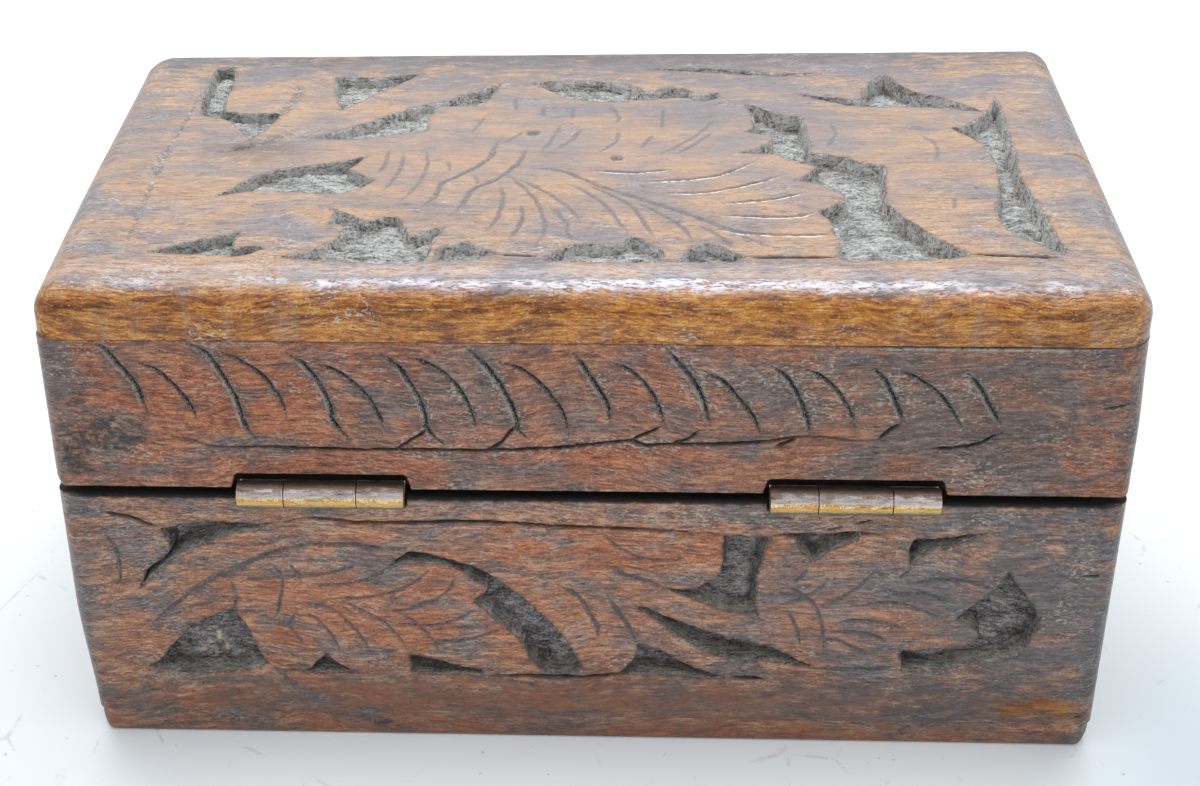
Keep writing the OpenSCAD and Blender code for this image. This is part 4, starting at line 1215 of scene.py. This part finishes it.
def build_long_walls():
    base_span = (-BOX_W / 2, BOX_W / 2, BOTTOM_T, BASE_H)
    rail_span = (-BOX_W / 2, BOX_W / 2, LID_LOW, SEAM_Z)
    for face, place, step, move, marks in ((REAR, "rear", FINE_STEP, lambda p: p, (RAIL_MARKS, BASE_MARKS)),
                                           (FRONT, "front", SIDE_STEP, mirrored, (None, None))):
        hinged = place == "rear"
        rows = HINGE_ROWS if hinged else PLAIN_ROWS
        relief = wall_relief(rail_span, step, END_R + SHOULDER_R, RIM_R, SEAM_R, 21)
        relief.strokes(RAIL_STROKES, move)
        if hinged:
            relief.strokes(HEAVY_GLINTS, shifted(*GLINT_BESIDE_HEAVY))
            for line in RAIL_CRACKS:
                relief.crack(line)
            # Painted shade along the rim, where it shows in the gap
            relief.stroke(gap_line(LID_LOW), RAIL_GAP_SHADE_W, PAINTED, "painted_shade", 1.0, taper=0.02)
            # The glue's own pale colour, laid on with the glint mark
            relief.stroke([(u, SEAM_Z - below) for u, below in SEAM_GLUE], 0.5, PAINTED, "glint", 1.0)
            relief.crack([(u, SEAM_Z - below) for u, below in SEAM_CRACK], 0.4, 0.5)
        drop = wall_drop(rail_span, END_R, RIM_R, SEAM_R, SHOULDER_R if hinged else 0.0)
        build_board(f"{place}_rail_carved", f"lid_{place}_rail", "lid", rail_wood, face,
                    rail_span, WALL_T, relief, drop, rows, marks[0], corners=(1.5, 0.5, 0, 0),
                    bend=leaf_mortise(LID_LOW, 1) if hinged else None, seed=22,
                    edge_cut=rail_hinge_cut if hinged else None, shaded_rim="low")
        relief = wall_relief(base_span, step, END_R, SEAM_R, RIM_R, 31)
        for ring in cut_rings(f"base_{place}_board", face):
            relief.pocket(ring, WALL_SUNK)
        relief.strokes(LEFT_STROKES, move)
        relief.strokes(RIGHT_STROKES, move)
        if hinged:
            # Painted shade along the rim, where it shows in the gap
            relief.stroke(gap_line(BASE_H), BASE_GAP_SHADE_W, PAINTED, "painted_shade", 1.0, taper=0.02)
            for line in BASE_CRACKS:
                relief.crack(line)
        build_board(f"{place}_wall_carved", f"base_{place}_board", "base", base_wood, face,
                    base_span, WALL_T, relief, wall_drop(base_span, END_R, SEAM_R, RIM_R), rows, marks[1],
                    bend=leaf_mortise(BASE_H, -1) if hinged else None, seed=32,
                    edge_cut=base_hinge_cut if hinged else None, shaded_rim="high")


# How the side walls use the drawings of the rear: the middle cuts of the rail, and the left half of the wall
SIDE_RAIL_SHIFT = 11.5
SIDE_WALL_SHIFT = 34.5
SIDE_CUTS = slice(2, 7)


def build_side_walls():
    half = BOX_D / 2 - WALL_T
    base_span = (-half, half, BOTTOM_T, BASE_H)
    rail_span = (-half, half, LID_LOW, SEAM_Z)
    for face, place in ((LEFT, "left"), (RIGHT, "right")):
        relief = wall_relief(rail_span, SIDE_STEP, 0, RIM_R, SEAM_R, 41)
        relief.strokes([(1.9, 0.75, "groove", 0.95, HEAVY_CUTS[SIDE_CUTS]),
                        (1.1, 0.6, "groove", 0.9, FINE_CUTS[SIDE_CUTS])],
                       shifted(SIDE_RAIL_SHIFT, 0))
        build_board(f"{place}_rail_carved", f"lid_{place}_rail", "lid", side_rail_wood, face,
                    rail_span, WALL_T, relief, wall_drop(rail_span, 0, RIM_R, SEAM_R), PLAIN_ROWS, seed=42)
        relief = wall_relief(base_span, SIDE_STEP, 0, SEAM_R, RIM_R, 51)
        for ring in cut_rings(f"base_{place}_board", face):
            relief.pocket(ring, WALL_SUNK)
        relief.strokes(LEFT_STROKES, shifted(SIDE_WALL_SHIFT, 0))
        build_board(f"{place}_wall_carved", f"base_{place}_board", "base", side_base_wood, face,
                    base_span, WALL_T, relief, wall_drop(base_span, 0, SEAM_R, RIM_R), PLAIN_ROWS, seed=52)


def build_bottom():
    half_w, half_d = BOX_W / 2 - BOTTOM_INSET, BOX_D / 2 - BOTTOM_INSET
    span = (-half_w, half_w, -half_d, half_d)
    corners = (FOOT_CORNER_R,) * 4
    relief = wall_relief(span, PLAIN_STEP, FOOT_END_R, FOOT_EDGE_R, FOOT_EDGE_R, 61)

    def drop(u, v):
        fu, fv = round_corners(u, v, span, corners)
        along = edge_drop(np.maximum(rounded_edge_distance(fu, fv, span, FOOT_CORNER_R), 0), FOOT_EDGE_R)
        return np.maximum(along, edge_drop(half_w - np.abs(u), FOOT_END_R))

    build_board("bottom_board_worn", "base_bottom_board", "base", base_wood, UNDER, span,
                BOTTOM_T, relief, drop, PLAIN_ROWS, BOTTOM_MARKS, mark_face=REAR, corners=corners,
                undulate=0.02, seed=62)


HINGE_PARTS = [
    ("base_leaf", "base", "hinge_brass"), ("lid_leaf", "lid", "hinge_brass"), ("pin", "base", "hinge_brass"),
    ("base_screws", "base", "screw_brass"), ("lid_screws", "lid", "screw_brass"),
]
METAL_PARTS = [(f"{side}_hinge_{part}", body, slot) for side in ("left", "right")
               for part, body, slot in HINGE_PARTS] + [("bottom_nails", "base", "nail_steel")]
METALS = {"hinge_brass": hinge_brass, "screw_brass": screw_brass, "nail_steel": nail_steel}

# Softened edges of the metal: the distance at which points join, the bevel, and the angles of edges that
# are bevelled and that stay sharp in the shading
WELD = 0.002
METAL_BEVEL = 0.07
BEVEL_FROM = math.radians(35)
SHARP_FROM = math.radians(40)


def build_metal():
    """Each metal part as its CAD solid with softened edges."""
    for node, body, slot in METAL_PARTS:
        bm = bmesh.new()
        bm.from_mesh(frame["nodes"][node].data)
        bmesh.ops.remove_doubles(bm, verts=bm.verts, dist=WELD * MM)
        bmesh.ops.dissolve_limit(bm, angle_limit=math.radians(1), verts=bm.verts, edges=bm.edges)
        sharp = [e for e in bm.edges if len(e.link_faces) == 2 and e.calc_face_angle(0) > BEVEL_FROM]
        bmesh.ops.bevel(bm, geom=sharp, offset=METAL_BEVEL * MM, segments=2, profile=0.6, affect="EDGES",
                        clamp_overlap=True)
        mesh = bpy.data.meshes.new(node + "_worn")
        bm.to_mesh(mesh)
        bm.free()
        mesh.polygons.foreach_set("use_smooth", np.ones(len(mesh.polygons), bool))
        mesh.set_sharp_from_angle(angle=SHARP_FROM)
        piece = bpy.data.objects.new(node + "_worn", mesh)
        bpy.context.scene.collection.objects.link(piece)
        mesh.materials.append(METALS[slot])
        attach(piece, body)
        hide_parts(node)


build_top()
build_long_walls()
build_side_walls()
build_bottom()
build_metal()


def area_light(name, place, aim, size, power, colour=(1, 1, 1)):
    data = bpy.data.lights.new(name, "AREA")
    data.shape = "RECTANGLE"
    data.size, data.size_y = size
    data.energy = power
    data.color = colour
    lamp = bpy.data.objects.new(name, data)
    lamp.location = place
    lamp.rotation_euler = (Vector(aim) - Vector(place)).to_track_quat("-Z", "Y").to_euler()
    bpy.context.scene.collection.objects.link(lamp)
    return lamp


# Brightness of the room, strength of the painted glow on the floor, and the room's parts that differ:
# (direction, cosines where it starts and is full, change)
ROOM_LIGHT = 0.77
FLOOR_GLOW = 0.52
SKY_PARTS = [((0.0, 0.88, 0.47), 0.72, 0.95, -0.28), ((0.0, 0.0, 1.0), 0.62, 0.9, 0.7)]


# The camera, fitted to the photograph: focal length for a film 36 mm wide, shift, place and turn in degrees
CAMERA_LENS = 63.15
CAMERA_SHIFT = 0.0833
CAMERA_PLACE = (-0.0025, 0.3059, 0.2244)
CAMERA_TURN = (58.47, 1.04, -177.32)


def build_stage():
    """Pale floor with painted shade and a painted glow near the box, white surroundings, soft lights and the
    camera.
    """
    bpy.ops.mesh.primitive_grid_add(size=6, x_subdivisions=2, y_subdivisions=2)
    floor = bpy.context.object
    floor.name = "floor"
    s = Shader("floor_white")
    cloud = s.noise([160, 160, 160], 4, 0.55)
    specks = s.step(s.noise([1.3, 1.3, 1.3], 1, 0.4, 0.0, 40.0), 0.76, 0.80)
    colour = s.ramp(cloud, [(0.35, "#e9eef1"), (0.65, "#f4f6f7")])
    colour = s.mix(s.math("MULTIPLY", specks, 0.5), colour, rgb("#a08f7e"))
    spot = s.node("ShaderNodeSeparateXYZ", {0: s.place}).outputs
    # Painted shade on the floor behind the box at its sides and towards -X
    close_by = s.step(spot["Y"], 0.26, 0.12)
    rear_part = s.math("MULTIPLY", s.step(spot["Y"], 0.03, 0.1), close_by)
    aside = s.step(s.math("ABSOLUTE", spot["X"]), 0.04, 0.11)
    colour = s.mix(s.math("MULTIPLY", rear_part, aside), colour, rgb("#dfe6ea"), "MULTIPLY")
    dim_corner = s.math("MULTIPLY", s.step(spot["X"], -0.06, -0.1), s.step(spot["X"], -0.32, -0.18))
    dim_corner = s.math("MULTIPLY", dim_corner, s.math("MULTIPLY", s.step(spot["Y"], -0.02, 0.05), close_by))
    colour = s.mix(dim_corner, colour, rgb("#dce4e9"), "MULTIPLY")
    hairlines = s.node("ShaderNodeTexVoronoi", {"Vector": s.stretched([11, 15, 11]), "Scale": 1.0},
                       feature="DISTANCE_TO_EDGE").outputs["Distance"]
    torn = s.step(s.noise([14, 14, 14], 5, 0.7, 0.0, 60.0), 0.53, 0.62)
    hairlines = s.math("MULTIPLY", s.step(hairlines, 0.035, 0.0), s.math("MULTIPLY", torn, 0.35))
    colour = s.mix(hairlines, colour, rgb("#a79a8c"))
    # A painted glow on the floor behind the middle of the box
    s.set(s.bsdf.inputs["Emission Color"], rgb("#f2f6fa"))
    glow = s.math("MULTIPLY", rear_part, s.math("SUBTRACT", 1.0, aside))
    s.set(s.bsdf.inputs["Emission Strength"], s.math("MULTIPLY", glow, FLOOR_GLOW))
    s.set(s.bsdf.inputs["Base Color"], colour)
    s.bsdf.inputs["Roughness"].default_value = 0.6
    floor.data.materials.append(s.material)

    world = bpy.data.worlds.new("white_room")
    world.use_nodes = True
    nodes, links = world.node_tree.nodes, world.node_tree.links
    backdrop = nodes["Background"]
    backdrop.inputs["Color"].default_value = (0.93, 0.97, 1.0, 1)
    place = nodes.new("ShaderNodeTexCoord")
    strength = ROOM_LIGHT
    for direction, start, full, change in SKY_PARTS:
        towards = nodes.new("ShaderNodeVectorMath")
        towards.operation = "DOT_PRODUCT"
        towards.inputs[1].default_value = direction
        links.new(place.outputs["Generated"], towards.inputs[0])
        share = nodes.new("ShaderNodeMapRange")
        share.interpolation_type = "SMOOTHSTEP"
        for key, value in {"From Min": start, "From Max": full, "To Min": 0.0, "To Max": change}.items():
            share.inputs[key].default_value = value
        links.new(towards.outputs["Value"], share.inputs["Value"])
        total = nodes.new("ShaderNodeMath")
        links.new(share.outputs["Result"], total.inputs[0])
        if isinstance(strength, float):
            total.inputs[1].default_value = strength
        else:
            links.new(strength, total.inputs[1])
        strength = total.outputs[0]
    links.new(strength, backdrop.inputs["Strength"])
    bpy.context.scene.world = world

    area_light("window_behind", (0.0, -0.85, 0.68), (0, 0, 0.05), (1.5, 0.7), 5.0, (0.94, 0.97, 1.0))
    area_light("strip_above", (0.0, -0.25, 0.8), (0, 0, 0.05), (0.9, 0.035), 2.5, (0.97, 0.98, 1.0))

    data = bpy.data.cameras.new("camera")
    data.sensor_width = 36.0
    data.lens = CAMERA_LENS
    data.shift_x = CAMERA_SHIFT
    data.clip_start = 0.02
    camera = bpy.data.objects.new("camera", data)
    camera.location = CAMERA_PLACE
    camera.rotation_euler = [math.radians(a) for a in CAMERA_TURN]
    bpy.context.scene.collection.objects.link(camera)
    bpy.context.scene.camera = camera

    view = bpy.context.scene.view_settings
    view.view_transform = "Standard"
    view.look = "None"


build_stage()
